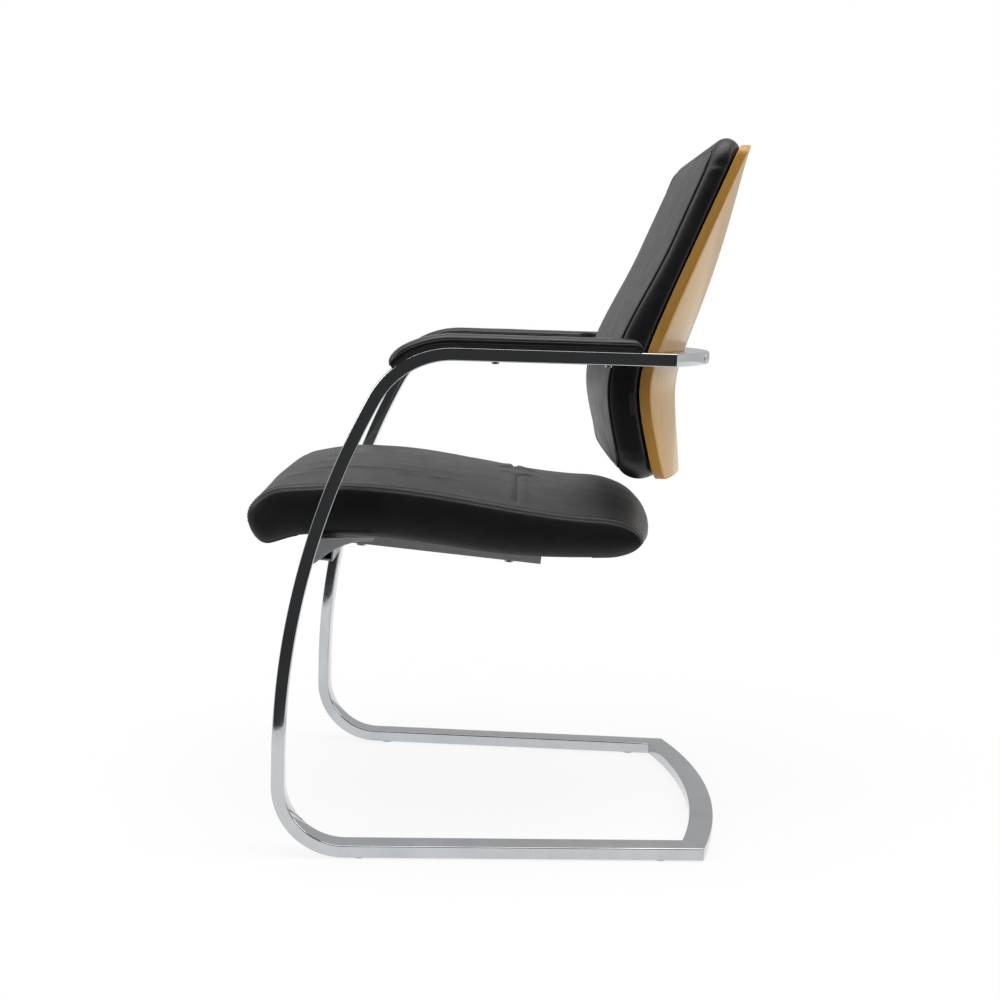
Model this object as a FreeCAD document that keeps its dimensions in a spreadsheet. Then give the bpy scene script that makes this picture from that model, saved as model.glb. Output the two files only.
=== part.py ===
import FreeCAD, Part
import math
import os
import re
import Sketcher
from FreeCAD import Placement, Rotation, Vector

os.makedirs("parts", exist_ok=True)
doc = FreeCAD.newDocument("lounge_chair")

# Driving sizes, in millimetres and degrees.
# Depths run rearwards from the front face of the legs, heights run up from the floor.
sizes = {
    # Chrome tube
    "tube_width": 32, "tube_depth": 16, "tube_wall": 2,
    # Side frames
    "leg_front": -268.5, "width_front": 551, "toe_angle": 3.19, "glide_thickness": 2,
    "lower_bend": 92, "bow_start": 130, "arm_height": 638, "arm_bend": 115,
    "arm_bend_start": 212, "arm_corner": 480, "base_corner": 543, "base_bow": 38,
    # Floor glides
    "glide_size": 22, "glide_pin": 6, "glide_pin_length": 8, "glide_front": 110,
    "glide_setback": 53, "hole_play": 0.2, "seat_gap": 0.3,
    # Seat carrier
    "carrier_depth": 36, "carrier_drop": 89, "carrier_slope": 4.8, "rail_length": 290,
    "rail_inset": 69, "seat_bolt": 6, "seat_bolt_front": 60, "seat_bolt_rear": 250,
    "bolt_head": 12, "bolt_head_height": 4,
    # Seat panel and cushion
    "panel_thickness": 11, "panel_front": -52, "panel_straight": 262, "panel_rear": 402,
    "panel_rise": 15, "panel_inset": 26, "panel_corner": 45,
    "seat_front": -44, "seat_rear": 462, "seat_side_gap": 9.5, "seat_taper": 10,
    "seat_draw_in": 4, "seat_front_height": 462, "seat_rear_height": 429,
    "seat_peak": 83, "seat_dip": 415, "seat_boxing": 58, "seat_crown": 24,
    "seat_nose": 26, "seat_tail": 44, "seat_plan_corner": 42, "seat_side_bulge": 4,
    "seat_end_fullness": 0.3, "leather": 1.4,
    # Back shell
    "shell_bottom": 480, "shell_top": 893, "shell_side_gap": 2.7479, "shell_narrowing": 14,
    "shell_thickness": 12, "waist_set_in": 27, "waist_below_arm": 38, "waist_softness": 40,
    "lean_above": 0.42, "lean_below": 0.28, "shell_bulge": 55, "shell_bulge_top": 17,
    "bulge_above_arm": 2,
    # Back cushion
    "back_bottom": 477, "back_top": 903, "back_set_in": 2, "back_side": 36,
    "back_side_top": 28, "back_crown": 10, "back_round": 16, "back_side_bulge": 3,
    "back_end_fullness": 0.45, "inner_panel": 5, "inner_panel_inset": 22,
    # Back fixing
    "shell_bolt": 6, "shell_bolt_pitch": 10, "shell_bolt_head": 14,
    "shell_bolt_head_height": 4, "shell_bolt_cover": 2,
    # Arm pads
    "pad_width": 46, "pad_core": 4, "pad_height": 15, "pad_setback": 42, "pad_wrap": 40,
    "pad_nose": 6, "pad_screw": 5, "pad_screw_head": 9, "pad_screw_head_height": 3,
    "pad_screw_front": 262, "pad_screw_rear": 400,
    "pad_notch": 13, "pad_notch_length": 44, "pad_notch_run": 18,
    # Bare side tab
    "tab_height": 26, "tab_width": 12, "tab_thickness": 1.2, "tab_level": 572,
}

# Sizes that follow from the driving ones.
derived = {
    "bow_radius": "(arm_bend_start^2 + (arm_height - arm_bend - bow_start)^2 - arm_bend^2)"
                  " / (2 * (arm_bend_start - arm_bend))",
    "toe_cosine": "cos(toe_angle)",
    "toe_slope": "tan(toe_angle)",
    "base_half": "width_front / 2 - base_corner * toe_slope",
    "base_radius": "(base_half^2 + base_bow^2) / (2 * base_bow)",
    "base_turn": "asin(base_half / base_radius)",
    "base_mitre": "45deg + (toe_angle * 1deg + base_turn) / 2",
    "glide_rear": "base_corner - glide_setback",
    "carrier_height": "seat_front_height - carrier_drop",
    "shell_waist": "arm_corner - waist_set_in",
    "waist_height": "arm_height - waist_below_arm",
    "shell_at_arm": "shell_waist + (lean_above - lean_below) / 2 * (arm_height - waist_height)"
                    " + (lean_above + lean_below) / 2"
                    " * (sqrt((arm_height - waist_height)^2 + waist_softness^2)"
                    " - waist_softness)",
    "arm_half": "width_front / 2 - arm_corner * toe_slope",
    "arm_apex": "shell_at_arm + shell_bulge + seat_gap + tube_width",
    "arm_bow": "arm_apex - arm_corner",
    "arm_radius": "(arm_half^2 + arm_bow^2) / (2 * arm_bow)",
    "arm_turn": "asin(arm_half / arm_radius)",
    "arm_mitre": "45deg + (toe_angle * 1deg + arm_turn) / 2",
    "carrier_half": "width_front / 2 - carrier_depth * toe_slope - tube_width / toe_cosine"
                    " - seat_gap",
    "seat_width": "width_front - 2 * tube_width - 2 * seat_side_gap",
    "rail_spread": "seat_width - 2 * rail_inset",
    "bulge_height": "arm_height + bulge_above_arm",
    "shell_width": "2 * (arm_half - tube_width - shell_side_gap)",
    "back_width": "shell_width - 2 * back_set_in",
    "pad_rear": "arm_corner - pad_setback",
    "pad_notch_start": "pad_rear - pad_notch_length",
}

sheet = doc.addObject("Spreadsheet::Sheet", "sizes")
for row, (name, number) in enumerate(sizes.items(), start=1):
    sheet.set("A%d" % row, name)
    sheet.set("B%d" % row, str(number))
    sheet.setAlias("B%d" % row, name)
for row, (name, formula) in enumerate(derived.items(), start=len(sizes) + 1):
    sheet.set("A%d" % row, name)
    sheet.set("B%d" % row, "=" + formula)
    sheet.setAlias("B%d" % row, name)
doc.recompute()
known = set(sizes) | set(derived)

# How far a cutting solid runs past what it cuts.
overcut = 1
# How far a bent bar is drawn past its corners before the mitres are cut.
past_corner = "4deg"


def value(expression):
    """The number that an expression in the sheet's names comes to."""
    result = sheet.evalExpression(expression)
    return float(getattr(result, "Value", result))


def bound(expression):
    """The same expression, as an object outside the sheet has to write it."""
    return re.sub(r"[a-z_]+", lambda m: "sizes." + m.group() if m.group() in known
                  else m.group(), expression)


# Drawing helpers.

def new_body(label):
    body = doc.addObject("PartDesign::Body", label)
    body.Label = label
    return body


def new_sketch(body, name, role, offset=None):
    """A sketch on one of the body's own planes, moved along its normal by an expression."""
    sketch = body.newObject("Sketcher::SketchObject", body.Name + "_" + name)
    plane = next(f for f in body.Origin.OriginFeatures if f.Role == role)
    sketch.AttachmentSupport = [(plane, "")]
    sketch.MapMode = "FlatFace"
    if offset:
        sketch.setExpression(".AttachmentOffset.Base.z", bound(offset))
    return sketch


def hold(sketch, kind, expression, *where):
    """One sketch dimension bound to an expression in the sheet's names."""
    index = sketch.addConstraint(Sketcher.Constraint(kind, *where, value(expression)))
    sketch.setExpression("Constraints[%d]" % index, bound(expression))


def hold_point(sketch, edge, end, x, y):
    hold(sketch, "DistanceX", x, -1, 1, edge, end)
    hold(sketch, "DistanceY", y, -1, 1, edge, end)


def outline(sketch, corners):
    """A closed outline of straight edges through corners given as expressions."""
    points = [Vector(value(x), value(y), 0) for x, y in corners]
    edges = []
    for start, end in zip(points, points[1:] + points[:1]):
        edges.append(sketch.addGeometry(Part.LineSegment(start, end), False))
    for edge, following in zip(edges, edges[1:] + edges[:1]):
        sketch.addConstraint(Sketcher.Constraint("Coincident", edge, 2, following, 1))
    for edge, (x, y) in zip(edges, corners):
        hold_point(sketch, edge, 1, x, y)


def hollow(body, sketch, length):
    """The bore of a tube, cut to both sides of the sketch's plane."""
    feature = body.newObject("PartDesign::Pocket", sketch.Name + "_bore")
    feature.Profile = sketch
    feature.Midplane = True
    feature.setExpression("Length", bound(length))


def box_outline(sketch, left, right, low, high, wall):
    """A rectangle, its sides given as expressions and drawn in by a wall."""
    outline(sketch, [("%s + %s" % (left, wall), "%s + %s" % (low, wall)),
                     ("%s - %s" % (right, wall), "%s + %s" % (low, wall)),
                     ("%s - %s" % (right, wall), "%s - %s" % (high, wall)),
                     ("%s + %s" % (left, wall), "%s - %s" % (high, wall))])


def tube_section(sketch, left, right, low, high):
    """The hollow rectangular section of a straight tube."""
    box_outline(sketch, left, right, low, high, "0 * tube_wall")
    box_outline(sketch, left, right, low, high, "tube_wall")


def circles(sketch, centres, diameter):
    for x, y in centres:
        circle = Part.Circle(Vector(value(x), value(y), 0), Vector(0, 0, 1),
                             value(diameter) / 2)
        edge = sketch.addGeometry(circle, False)
        hold(sketch, "Diameter", diameter, edge)
        hold_point(sketch, edge, 3, x, y)


def pad(body, sketch, length, both_ways=True):
    feature = body.newObject("PartDesign::Pad", sketch.Name + "_pad")
    feature.Profile = sketch
    feature.Midplane = both_ways
    feature.setExpression("Length", bound(length))
    return feature


def pocket(body, sketch, length):
    """A cut that reaches half its length to each side of its sketch."""
    doc.recompute()
    before = body.Shape.Volume
    feature = body.newObject("PartDesign::Pocket", sketch.Name + "_cut")
    feature.Profile = sketch
    feature.Midplane = True
    feature.setExpression("Length", bound(length))
    doc.recompute()
    if body.Shape.Volume >= before:
        raise RuntimeError(sketch.Name + " cuts nothing")


def place(body, x="0", y="0", z="0"):
    """Set a piece in the chair's frame; y is a depth behind the legs' front face."""
    body.setExpression("Placement.Base.x", bound(x))
    body.setExpression("Placement.Base.y", bound("leg_front + " + y))
    body.setExpression("Placement.Base.z", bound(z))


def place_beside(body, side):
    """Stand a piece in the plane of a side frame, toed in towards the rear."""
    body.Placement = Placement(Vector(), Rotation(Vector(0, 0, 1), side * value("toe_angle")))
    place(body, x="%d * width_front / 2" % side)


def plain(label, shape):
    """A piece whose form the solid functions make directly."""
    piece = doc.addObject("Part::Feature", label)
    piece.Label = label
    piece.Shape = shape
    move = Placement(Vector(0, value("leg_front"), 0), Rotation())
    piece.Placement = move.multiply(shape.Placement)
    return piece


# Side frames: one tube each, arm, bowed leg and runner in one bent length.

def frame_chain(sketch, depth):
    """The tube's run from the runner's rear end to the arm's, at a depth under its outside."""
    inward = value(depth)
    level, arm_level = value("glide_thickness") + inward, value("arm_height") - inward
    rear = value("base_corner / toe_cosine + tube_width")
    arm_rear = value("arm_corner / toe_cosine + tube_width")
    low, arm, start = value("lower_bend"), value("arm_bend"), value("bow_start")
    knee = Vector(value("arm_bend_start"), value("arm_height") - arm, 0)
    hub = Vector(value("bow_radius"), start, 0)
    lean = math.atan2(knee.y - start, hub.x - knee.x)
    heel = value("glide_thickness") + low
    up = Vector(0, 0, 1)
    first = sketch.GeometryCount
    for edge in (
            Part.LineSegment(Vector(rear, level, 0), Vector(low, level, 0)),
            Part.ArcOfCircle(Part.Circle(Vector(low, heel, 0), up, low - inward),
                             math.pi, math.pi * 1.5),
            Part.LineSegment(Vector(inward, heel, 0), Vector(inward, start, 0)),
            Part.ArcOfCircle(Part.Circle(hub, up, hub.x - inward), math.pi - lean, math.pi),
            Part.ArcOfCircle(Part.Circle(knee, up, arm - inward), math.pi / 2,
                             math.pi - lean),
            Part.LineSegment(Vector(knee.x, arm_level, 0), Vector(arm_rear, arm_level, 0))):
        sketch.addGeometry(edge, False)
    for one, one_end, other, other_end in (
            (0, 2, 1, 2), (1, 1, 2, 1), (2, 2, 3, 2), (3, 1, 4, 2), (4, 1, 5, 1)):
        sketch.addConstraint(Sketcher.Constraint("Tangent", first + one, one_end,
                                                 first + other, other_end))
    for edge, kind in ((0, "Horizontal"), (2, "Vertical"), (5, "Horizontal")):
        sketch.addConstraint(Sketcher.Constraint(kind, first + edge))
    hold_point(sketch, first, 1, "base_corner / toe_cosine + tube_width",
               "glide_thickness + " + depth)
    hold(sketch, "Radius", "lower_bend - " + depth, first + 1)
    hold(sketch, "DistanceX", depth, -1, 1, first + 2, 2)
    hold(sketch, "DistanceY", "bow_start", -1, 1, first + 2, 2)
    hold(sketch, "Radius", "arm_bend - " + depth, first + 4)
    hold_point(sketch, first + 5, 1, "arm_bend_start", "arm_height - " + depth)
    hold(sketch, "DistanceX", "arm_corner / toe_cosine + tube_width", -1, 1, first + 5, 2)
    return first


def frame_band(sketch, outside, inside):
    """The side view of the tube between two depths, closed across its ends."""
    outer, inner = frame_chain(sketch, outside), frame_chain(sketch, inside)
    for edge, end in ((0, 1), (5, 2)):
        a = sketch.getPoint(outer + edge, end)
        b = sketch.getPoint(inner + edge, end)
        line = sketch.addGeometry(Part.LineSegment(a, b), False)
        sketch.addConstraint(Sketcher.Constraint("Coincident", line, 1, outer + edge, end))
        sketch.addConstraint(Sketcher.Constraint("Coincident", line, 2, inner + edge, end))


def mitre_outline(sketch, side, corner, mitre):
    """What a mitre takes off a side tube behind the line from its outer corner."""
    line_x, line_y = "sin(%s)" % mitre, "cos(%s)" % mitre
    near, far = "0.3 * tube_width", "1.6 * tube_width"
    outline(sketch, [
        ("%d * %s * %s" % (side, near, line_x), "%s + %s * %s" % (corner, near, line_y)),
        ("%d * %s * %s" % (-side, far, line_x), "%s - %s * %s" % (corner, far, line_y)),
        ("%d * %s * %s" % (-side, far, line_x), "%s + 3 * tube_width" % corner),
        ("%d * %s * %s" % (side, near, line_x), "%s + 3 * tube_width" % corner)])


def side_frame(label, side):
    body = new_body(label)
    centre = "%d * tube_width / 2" % -side
    shape = new_sketch(body, "outside", "YZ_Plane", centre)
    frame_band(shape, "0 * tube_wall", "tube_depth")
    pad(body, shape, "tube_width")
    bore = new_sketch(body, "bore", "YZ_Plane", centre)
    frame_band(bore, "tube_wall", "(tube_depth - tube_wall)")
    hollow(body, bore, "tube_width - 2 * tube_wall")
    runner_cut = new_sketch(body, "runner_mitre", "XY_Plane")
    mitre_outline(runner_cut, side, "base_corner / toe_cosine", "base_mitre")
    pocket(body, runner_cut, "6 * tube_depth")
    arm_cut = new_sketch(body, "arm_mitre", "XY_Plane", "arm_height")
    mitre_outline(arm_cut, side, "arm_corner / toe_cosine", "arm_mitre")
    pocket(body, arm_cut, "6 * tube_depth")
    middle = "%d * tube_width / 2" % -side
    glide_holes = new_sketch(body, "glide_holes", "XY_Plane")
    circles(glide_holes, [(middle, "glide_front"), (middle, "glide_rear")],
            "glide_pin + 2 * hole_play")
    pocket(body, glide_holes, "2 * (glide_thickness + 2 * tube_wall)")
    screw_holes = new_sketch(body, "screw_holes", "XY_Plane", "arm_height - tube_depth / 2")
    circles(screw_holes, [(middle, "pad_screw_front"), (middle, "pad_screw_rear")],
            "pad_screw + 2 * hole_play")
    pocket(body, screw_holes, "2 * tube_depth")
    place_beside(body, side)
    return body


side_frame("left_side_frame", 1)
side_frame("right_side_frame", -1)


# Rear crossbars: the same tube bent to an arc lying flat, mitred to the side frames.

def arc_band(sketch, outer, inner, turn):
    """The plan of a bent tube about the sketch's origin, past its corners at both ends."""
    spread = "(%s + %s)" % (turn, past_corner)
    half = math.radians(value(spread))
    up, middle = Vector(0, 0, 1), math.pi / 2
    arcs = []
    for radius in (outer, inner):
        circle = Part.Circle(Vector(), up, value(radius))
        arc = sketch.addGeometry(Part.ArcOfCircle(circle, middle - half, middle + half), False)
        sketch.addConstraint(Sketcher.Constraint("Coincident", arc, 3, -1, 1))
        hold(sketch, "Radius", radius, arc)
        arcs.append(arc)
    for end, side in ((1, 1), (2, -1)):
        a, b = (sketch.getPoint(arc, end) for arc in arcs)
        line = sketch.addGeometry(Part.LineSegment(a, b), False)
        sketch.addConstraint(Sketcher.Constraint("Coincident", line, 1, arcs[0], end))
        sketch.addConstraint(Sketcher.Constraint("Coincident", line, 2, arcs[1], end))
        reach = "%d * %%s * sin%s" % (side, spread)
        hold(sketch, "DistanceX", reach % outer, -1, 1, line, 1)
        hold(sketch, "DistanceX", reach % inner, -1, 1, line, 2)


def crossbar(label, radius, half, corner, mitre, low, turn):
    """An arc of tube about an upright axis, cut at both ends on the mitre lines."""
    body = new_body(label)
    level = low + " + tube_depth / 2"
    shape = new_sketch(body, "outside", "XY_Plane", level)
    arc_band(shape, radius, "(%s - tube_width)" % radius, turn)
    pad(body, shape, "tube_depth")
    bore = new_sketch(body, "bore", "XY_Plane", level)
    arc_band(bore, "(%s - tube_wall)" % radius, "(%s - tube_width + tube_wall)" % radius, turn)
    hollow(body, bore, "tube_depth - 2 * tube_wall")
    ends = new_sketch(body, "mitres", "XY_Plane", low)
    angle = "(%s - toe_angle * 1deg)" % mitre
    along_x, along_y = "sin(%s)" % angle, "cos(%s)" % angle
    level = "sqrt(%s^2 - %s^2)" % (radius, half)
    near, far, out = "2 * tube_width", "1.6 * tube_width", "3 * tube_width"
    for side in (1, -1):
        a = ("%s + %s * %s" % (half, near, along_x), "%s + %s * %s" % (level, near, along_y))
        b = ("%s - %s * %s" % (half, far, along_x), "%s - %s * %s" % (level, far, along_y))
        corners = [a, b,
                   ("%s + %s * %s" % (b[0], out, along_y), "%s - %s * %s" % (b[1], out, along_x)),
                   ("%s + %s * %s" % (a[0], out, along_y), "%s - %s * %s" % (a[1], out, along_x))]
        outline(ends, [("%d * (%s)" % (side, x), y) for x, y in corners])
    pocket(body, ends, "6 * tube_depth")
    place(body, y="%s - %s" % (corner, level))
    return body


crossbar("base_rear_crossbar", "base_radius", "base_half", "base_corner", "base_mitre",
         "glide_thickness", "base_turn")
arm_bar = crossbar("arm_bar_tube", "arm_radius", "arm_half", "arm_corner", "arm_mitre",
                   "arm_height - tube_depth", "arm_turn")


# Floor glides: plastic buttons pinned up into the runners.

def pinned_disc(x, y, low, size, thickness, pin, pin_length):
    """A disc with a pin standing on it."""
    disc = Part.makeCylinder(size / 2, thickness, Vector(x, y, low))
    return disc.fuse(Part.makeCylinder(pin / 2, pin_length, Vector(x, y, low + thickness)))


def beside(shape, side):
    """A shape drawn in the plane of a side frame, set in the chair's frame."""
    turned = shape.copy()
    turned.Placement = Placement(Vector(side * value("width_front") / 2, 0, 0),
                                 Rotation(Vector(0, 0, 1), side * value("toe_angle")))
    return turned


glides = []
for side in (1, -1):
    for depth in ("glide_front", "glide_rear"):
        glide = pinned_disc(-side * value("tube_width / 2"), value(depth), 0,
                            value("glide_size"), value("glide_thickness"),
                            value("glide_pin"), value("glide_pin_length"))
        glides.append(beside(glide, side))
plain("floor_glides", Part.makeCompound(glides))


# Seat carrier: a crossbar between the legs and two rails welded on top of it.

def tilt(body, x="0"):
    body.Placement = Placement(Vector(), Rotation(Vector(1, 0, 0), -value("carrier_slope")))
    place(body, x=x, y="carrier_depth", z="carrier_height")


carrier = new_body("seat_front_crossbar")
carrier_profile = new_sketch(carrier, "section", "YZ_Plane")
tube_section(carrier_profile, "0", "tube_width", "0", "tube_depth")
pad(carrier, carrier_profile, "2 * carrier_half")
carrier_ends = new_sketch(carrier, "ends", "XY_Plane")
for side in (1, -1):
    outline(carrier_ends, [
        ("%d * (carrier_half + tube_width * toe_slope)" % side, "-tube_width"),
        ("%d * (carrier_half - 2 * tube_width * toe_slope)" % side, "2 * tube_width"),
        ("%d * (carrier_half + tube_width)" % side, "2 * tube_width"),
        ("%d * (carrier_half + tube_width)" % side, "-tube_width")])
pocket(carrier, carrier_ends, "4 * tube_depth")
tilt(carrier)

for label, side in (("left_seat_rail", 1), ("right_seat_rail", -1)):
    rail = new_body(label)
    rail_profile = new_sketch(rail, "section", "XZ_Plane", "-rail_length / 2")
    tube_section(rail_profile, "-tube_width / 2", "tube_width / 2", "tube_depth",
                 "2 * tube_depth")
    pad(rail, rail_profile, "rail_length")
    rail_holes = new_sketch(rail, "bolt_holes", "XY_Plane", "1.5 * tube_depth")
    circles(rail_holes, [("0 * tube_width", "seat_bolt_front"),
                         ("0 * tube_width", "seat_bolt_rear")],
            "seat_bolt + 2 * hole_play")
    pocket(rail, rail_holes, "2 * tube_depth")
    tilt(rail, x="%d * rail_spread / 2" % side)


# Seat panel: moulded plywood, straight over the rails and rising to the rear.

tilted = Placement(Vector(0, value("carrier_depth"), value("carrier_height")),
                   Rotation(Vector(1, 0, 0), -value("carrier_slope")))
under = value("2 * tube_depth + seat_gap")
front, bend = value("panel_front"), value("panel_straight")
reach, rise = value("panel_rear") - bend, value("panel_rise")
bend_radius = (reach ** 2 + rise ** 2) / (2 * rise)
turn = math.asin(reach / bend_radius)


def arc_through(a, b, c):
    return Part.Arc(a, b, c).toShape()


def around_bend(lift, share):
    """A point of the panel's rear rise, above its underside, at a share of its turn."""
    radius = bend_radius - lift
    return Vector(0, bend + radius * math.sin(turn * share),
                  under + bend_radius - radius * math.cos(turn * share))


def panel_side(low, high, front_depth, beyond):
    """The panel's side outline between two levels above its underside."""
    front_low = Vector(0, front_depth, under + low)
    front_high = Vector(0, front_depth, under + high)
    step = Vector(0, beyond, 0)
    edges = [Part.makeLine(front_low, around_bend(low, 0)),
             arc_through(around_bend(low, 0), around_bend(low, 0.5), around_bend(low, 1)),
             arc_through(around_bend(high, 1), around_bend(high, 0.5), around_bend(high, 0)),
             Part.makeLine(around_bend(high, 0), front_high),
             Part.makeLine(front_high, front_low)]
    if beyond:
        edges.insert(2, Part.makeLine(around_bend(low, 1), around_bend(low, 1) + step))
        edges.insert(3, Part.makeLine(around_bend(low, 1) + step, around_bend(high, 1) + step))
        edges.insert(4, Part.makeLine(around_bend(high, 1) + step, around_bend(high, 1)))
    else:
        edges.insert(2, Part.makeLine(around_bend(low, 1), around_bend(high, 1)))
    return Part.Wire(edges)


def across(wire, half):
    """A side outline made solid across the chair."""
    solid = Part.Face(wire).extrude(Vector(2 * half, 0, 0))
    solid.translate(Vector(-half, 0, 0))
    return solid


bolt_seats = [(side * value("rail_spread") / 2, value(depth)) for side in (1, -1)
              for depth in ("seat_bolt_front", "seat_bolt_rear")]
board = across(panel_side(0, value("panel_thickness"), front, 0),
               value("seat_width / 2 - panel_inset"))
corners = [edge for edge in board.Edges
           if edge.BoundBox.XLength < 0.01 and edge.BoundBox.YLength < value("panel_thickness")]
board = board.makeFillet(value("panel_corner"), corners)
for x, y in bolt_seats:
    board = board.cut(Part.makeCylinder(value("seat_bolt / 2 + hole_play"),
                                        value("4 * panel_thickness"), Vector(x, y, 0)))
board.Placement = tilted.multiply(board.Placement)
plain("seat_panel", board)

seat_bolts = []
for x, y in bolt_seats:
    bolt = pinned_disc(x, y, value("tube_depth - bolt_head_height"), value("bolt_head"),
                       value("bolt_head_height"), value("seat_bolt"),
                       value("tube_depth + seat_gap + panel_thickness"))
    bolt.Placement = tilted
    seat_bolts.append(bolt)
plain("seat_bolts", Part.makeCompound(seat_bolts))


# Soft and moulded forms.

# What is left of a section at the very tip of a rounded end, so that its arcs stay arcs.
tip_fullness = 0.06
# Where the sections of a rounded end lie, as shares of its radius.
round_shares = (0, 0.1, 0.4, 1)


def band(points):
    """A closed outline of four edges: straight, arc, arc and arc, through eight points."""
    first, second, third, fourth, right, top, left = points
    return Part.Wire([Part.makeLine(first, second), arc_through(second, right, third),
                      arc_through(third, top, fourth), arc_through(fourth, left, first)])


def roll(distance, radius):
    """How full a rounded end is at a distance from its tip, from nearly 0 to 1."""
    rest = min(1.0, max(0.0, 1 - distance / radius))
    return fullness(math.sqrt(1 - rest * rest), tip_fullness)


def fullness(end, least):
    """How thick a rounded end is, where a given share of it is left at its tip."""
    return least + (1 - least) * end


def stations(start, end, start_round, end_round, between):
    """Where the sections of a form lie: close together at its rounded ends."""
    places = [start + start_round * share for share in round_shares]
    first, last = start + start_round, end - end_round
    places += [first + (last - first) * step / between for step in range(1, between)]
    return places + [end - end_round * share for share in reversed(round_shares)]


# Seat cushion: a crowned form whose front rolls over like a waterfall.

def seat_seam(depth):
    """Height of the sewn top edge of the seat's side."""
    span = value("seat_dip") - value("seat_peak")
    wave = (1 + math.cos(math.pi * (depth - value("seat_peak")) / span)) / 2
    low, high = value("seat_rear_height"), value("seat_front_height")
    return low + (high - low) * wave


def seat_section(depth, inset):
    """The seat's closed outline across its width at one depth."""
    front, rear = value("seat_front"), value("seat_rear")
    share = (depth - front) / (rear - front)
    end = min(roll(depth - front, value("seat_nose")), roll(rear - depth, value("seat_tail")))
    corner = value("seat_plan_corner")
    half = value("seat_width") / 2 - value("seat_taper") * share - inset
    half -= value("seat_draw_in") * math.sin(math.pi * share) ** 2
    half -= corner * (1 - roll(min(depth - front, rear - depth), corner))
    middle = seat_seam(depth) - value("seat_boxing") / 2
    rise = value("seat_boxing") / 2 * fullness(end, value("seat_end_fullness")) - inset
    high, low = middle + rise, middle - rise
    bulge = value("seat_side_bulge") * end
    crown = value("seat_crown") * end
    depth += inset * (1 - 2 * share)
    return band([Vector(-half, depth, low), Vector(half, depth, low),
                 Vector(half, depth, high), Vector(-half, depth, high),
                 Vector(half + bulge, depth, middle), Vector(0, depth, high + crown),
                 Vector(-half - bulge, depth, middle)])


def seat_form(inset):
    places = stations(value("seat_front"), value("seat_rear"),
                      value("seat_nose"), value("seat_tail"), 6)
    return Part.makeLoft([seat_section(place, inset) for place in places], True, True)


def panel_room():
    """The recess in the cushion's underside that takes the panel."""
    gap = value("seat_gap")
    solid = across(panel_side(-value("2 * seat_boxing"), value("panel_thickness") + gap,
                              front - gap, gap), value("seat_width / 2 - panel_inset") + gap)
    solid.Placement = tilted.multiply(solid.Placement)
    return solid


room = panel_room()
seat_core = seat_form(value("leather"))
plain("seat_foam", seat_core.cut(room))
plain("seat_cover", seat_form(0).cut(seat_core).cut(room))


# Back shell: moulded plywood, hollow towards the sitter, leaning back above its waist.

def shell_edge(height):
    """Depth of the shell's rear face along its side edges."""
    rise = height - value("waist_height")
    soft = value("waist_softness")
    above, below = value("lean_above"), value("lean_below")
    return (value("shell_waist") + (above - below) / 2 * rise
            + (above + below) / 2 * (math.sqrt(rise * rise + soft * soft) - soft))


def off_fullest(height):
    """How far a level lies from the fullest one, as a share of the longer way to an end."""
    middle = value("bulge_height")
    return (height - middle) / max(value("shell_top") - middle, middle - value("shell_bottom"))


def shell_bulge(height):
    """How far the middle of the shell's rear face stands behind its edges."""
    loss = value("shell_bulge - shell_bulge_top") * off_fullest(height) ** 2
    return value("shell_bulge") - loss


def shell_half(height):
    return (value("shell_width") - value("shell_narrowing") * off_fullest(height) ** 2) / 2


def shell_slice(height, forward, thickness, inset):
    """A curved strip of the back lying level, at a distance in front of the rear face."""
    half, bulge = shell_half(height) - inset, shell_bulge(height)
    radius = (shell_half(height) ** 2 + bulge ** 2) / (2 * bulge)
    centre = shell_edge(height) + bulge - radius
    outer, inner = radius - forward, radius - forward - thickness
    ends = [Vector(x, centre + math.sqrt(r * r - half * half), height)
            for r, x in ((outer, -half), (outer, half), (inner, half), (inner, -half))]
    return Part.Wire([
        arc_through(ends[0], Vector(0, centre + outer, height), ends[1]),
        Part.makeLine(ends[1], ends[2]),
        arc_through(ends[2], Vector(0, centre + inner, height), ends[3]),
        Part.makeLine(ends[3], ends[0])])


def shell_form(low, high, steps, forward, thickness, inset):
    heights = [low + (high - low) * step / steps for step in range(steps + 1)]
    slices = [shell_slice(height, forward, thickness, inset) for height in heights]
    return Part.makeLoft(slices, True, False)


def bolt_axis(angle):
    """Where a back bolt enters the arm bar's rear face, and the way it points."""
    level = value("arm_height - tube_depth / 2")
    centre = value("arm_apex - arm_radius")
    radius = value("arm_radius")
    way = Vector(-math.sin(angle), -math.cos(angle), 0)
    return Vector(0, centre, level) - way * radius, way


def rod(angle, radius, start, length):
    point, way = bolt_axis(angle)
    return Part.makeCylinder(radius, length, point + way * start, way)


angles = [math.radians(value("shell_bolt_pitch") * step) for step in (-1.5, -0.5, 0.5, 1.5)]
grip = value("tube_width + shell_thickness")
clear_radius = value("shell_bolt / 2 + hole_play")
holes = Part.makeCompound([rod(angle, clear_radius, -overcut, grip + value("tube_width"))
                           for angle in angles])
shell = shell_form(value("shell_bottom"), value("shell_top"), 8, 0,
                   value("shell_thickness"), 0)
plain("back_shell", shell.cut(holes))
plain("back_inner_panel", shell_form(
    value("shell_bottom + inner_panel_inset"), value("shell_top - inner_panel_inset"), 6,
    value("shell_thickness + seat_gap"), value("inner_panel"), value("inner_panel_inset")))

bar_holes = doc.addObject("Part::Feature", "bar_bolt_holes")
bar_holes.Shape = holes
bar_holes.Placement = Placement(Vector(0, value("leg_front"), 0), Rotation())
drilled = doc.addObject("Part::Cut", "arm_rear_crossbar")
drilled.Base = arm_bar
drilled.Tool = bar_holes
drilled.Label = "arm_rear_crossbar"

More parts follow.
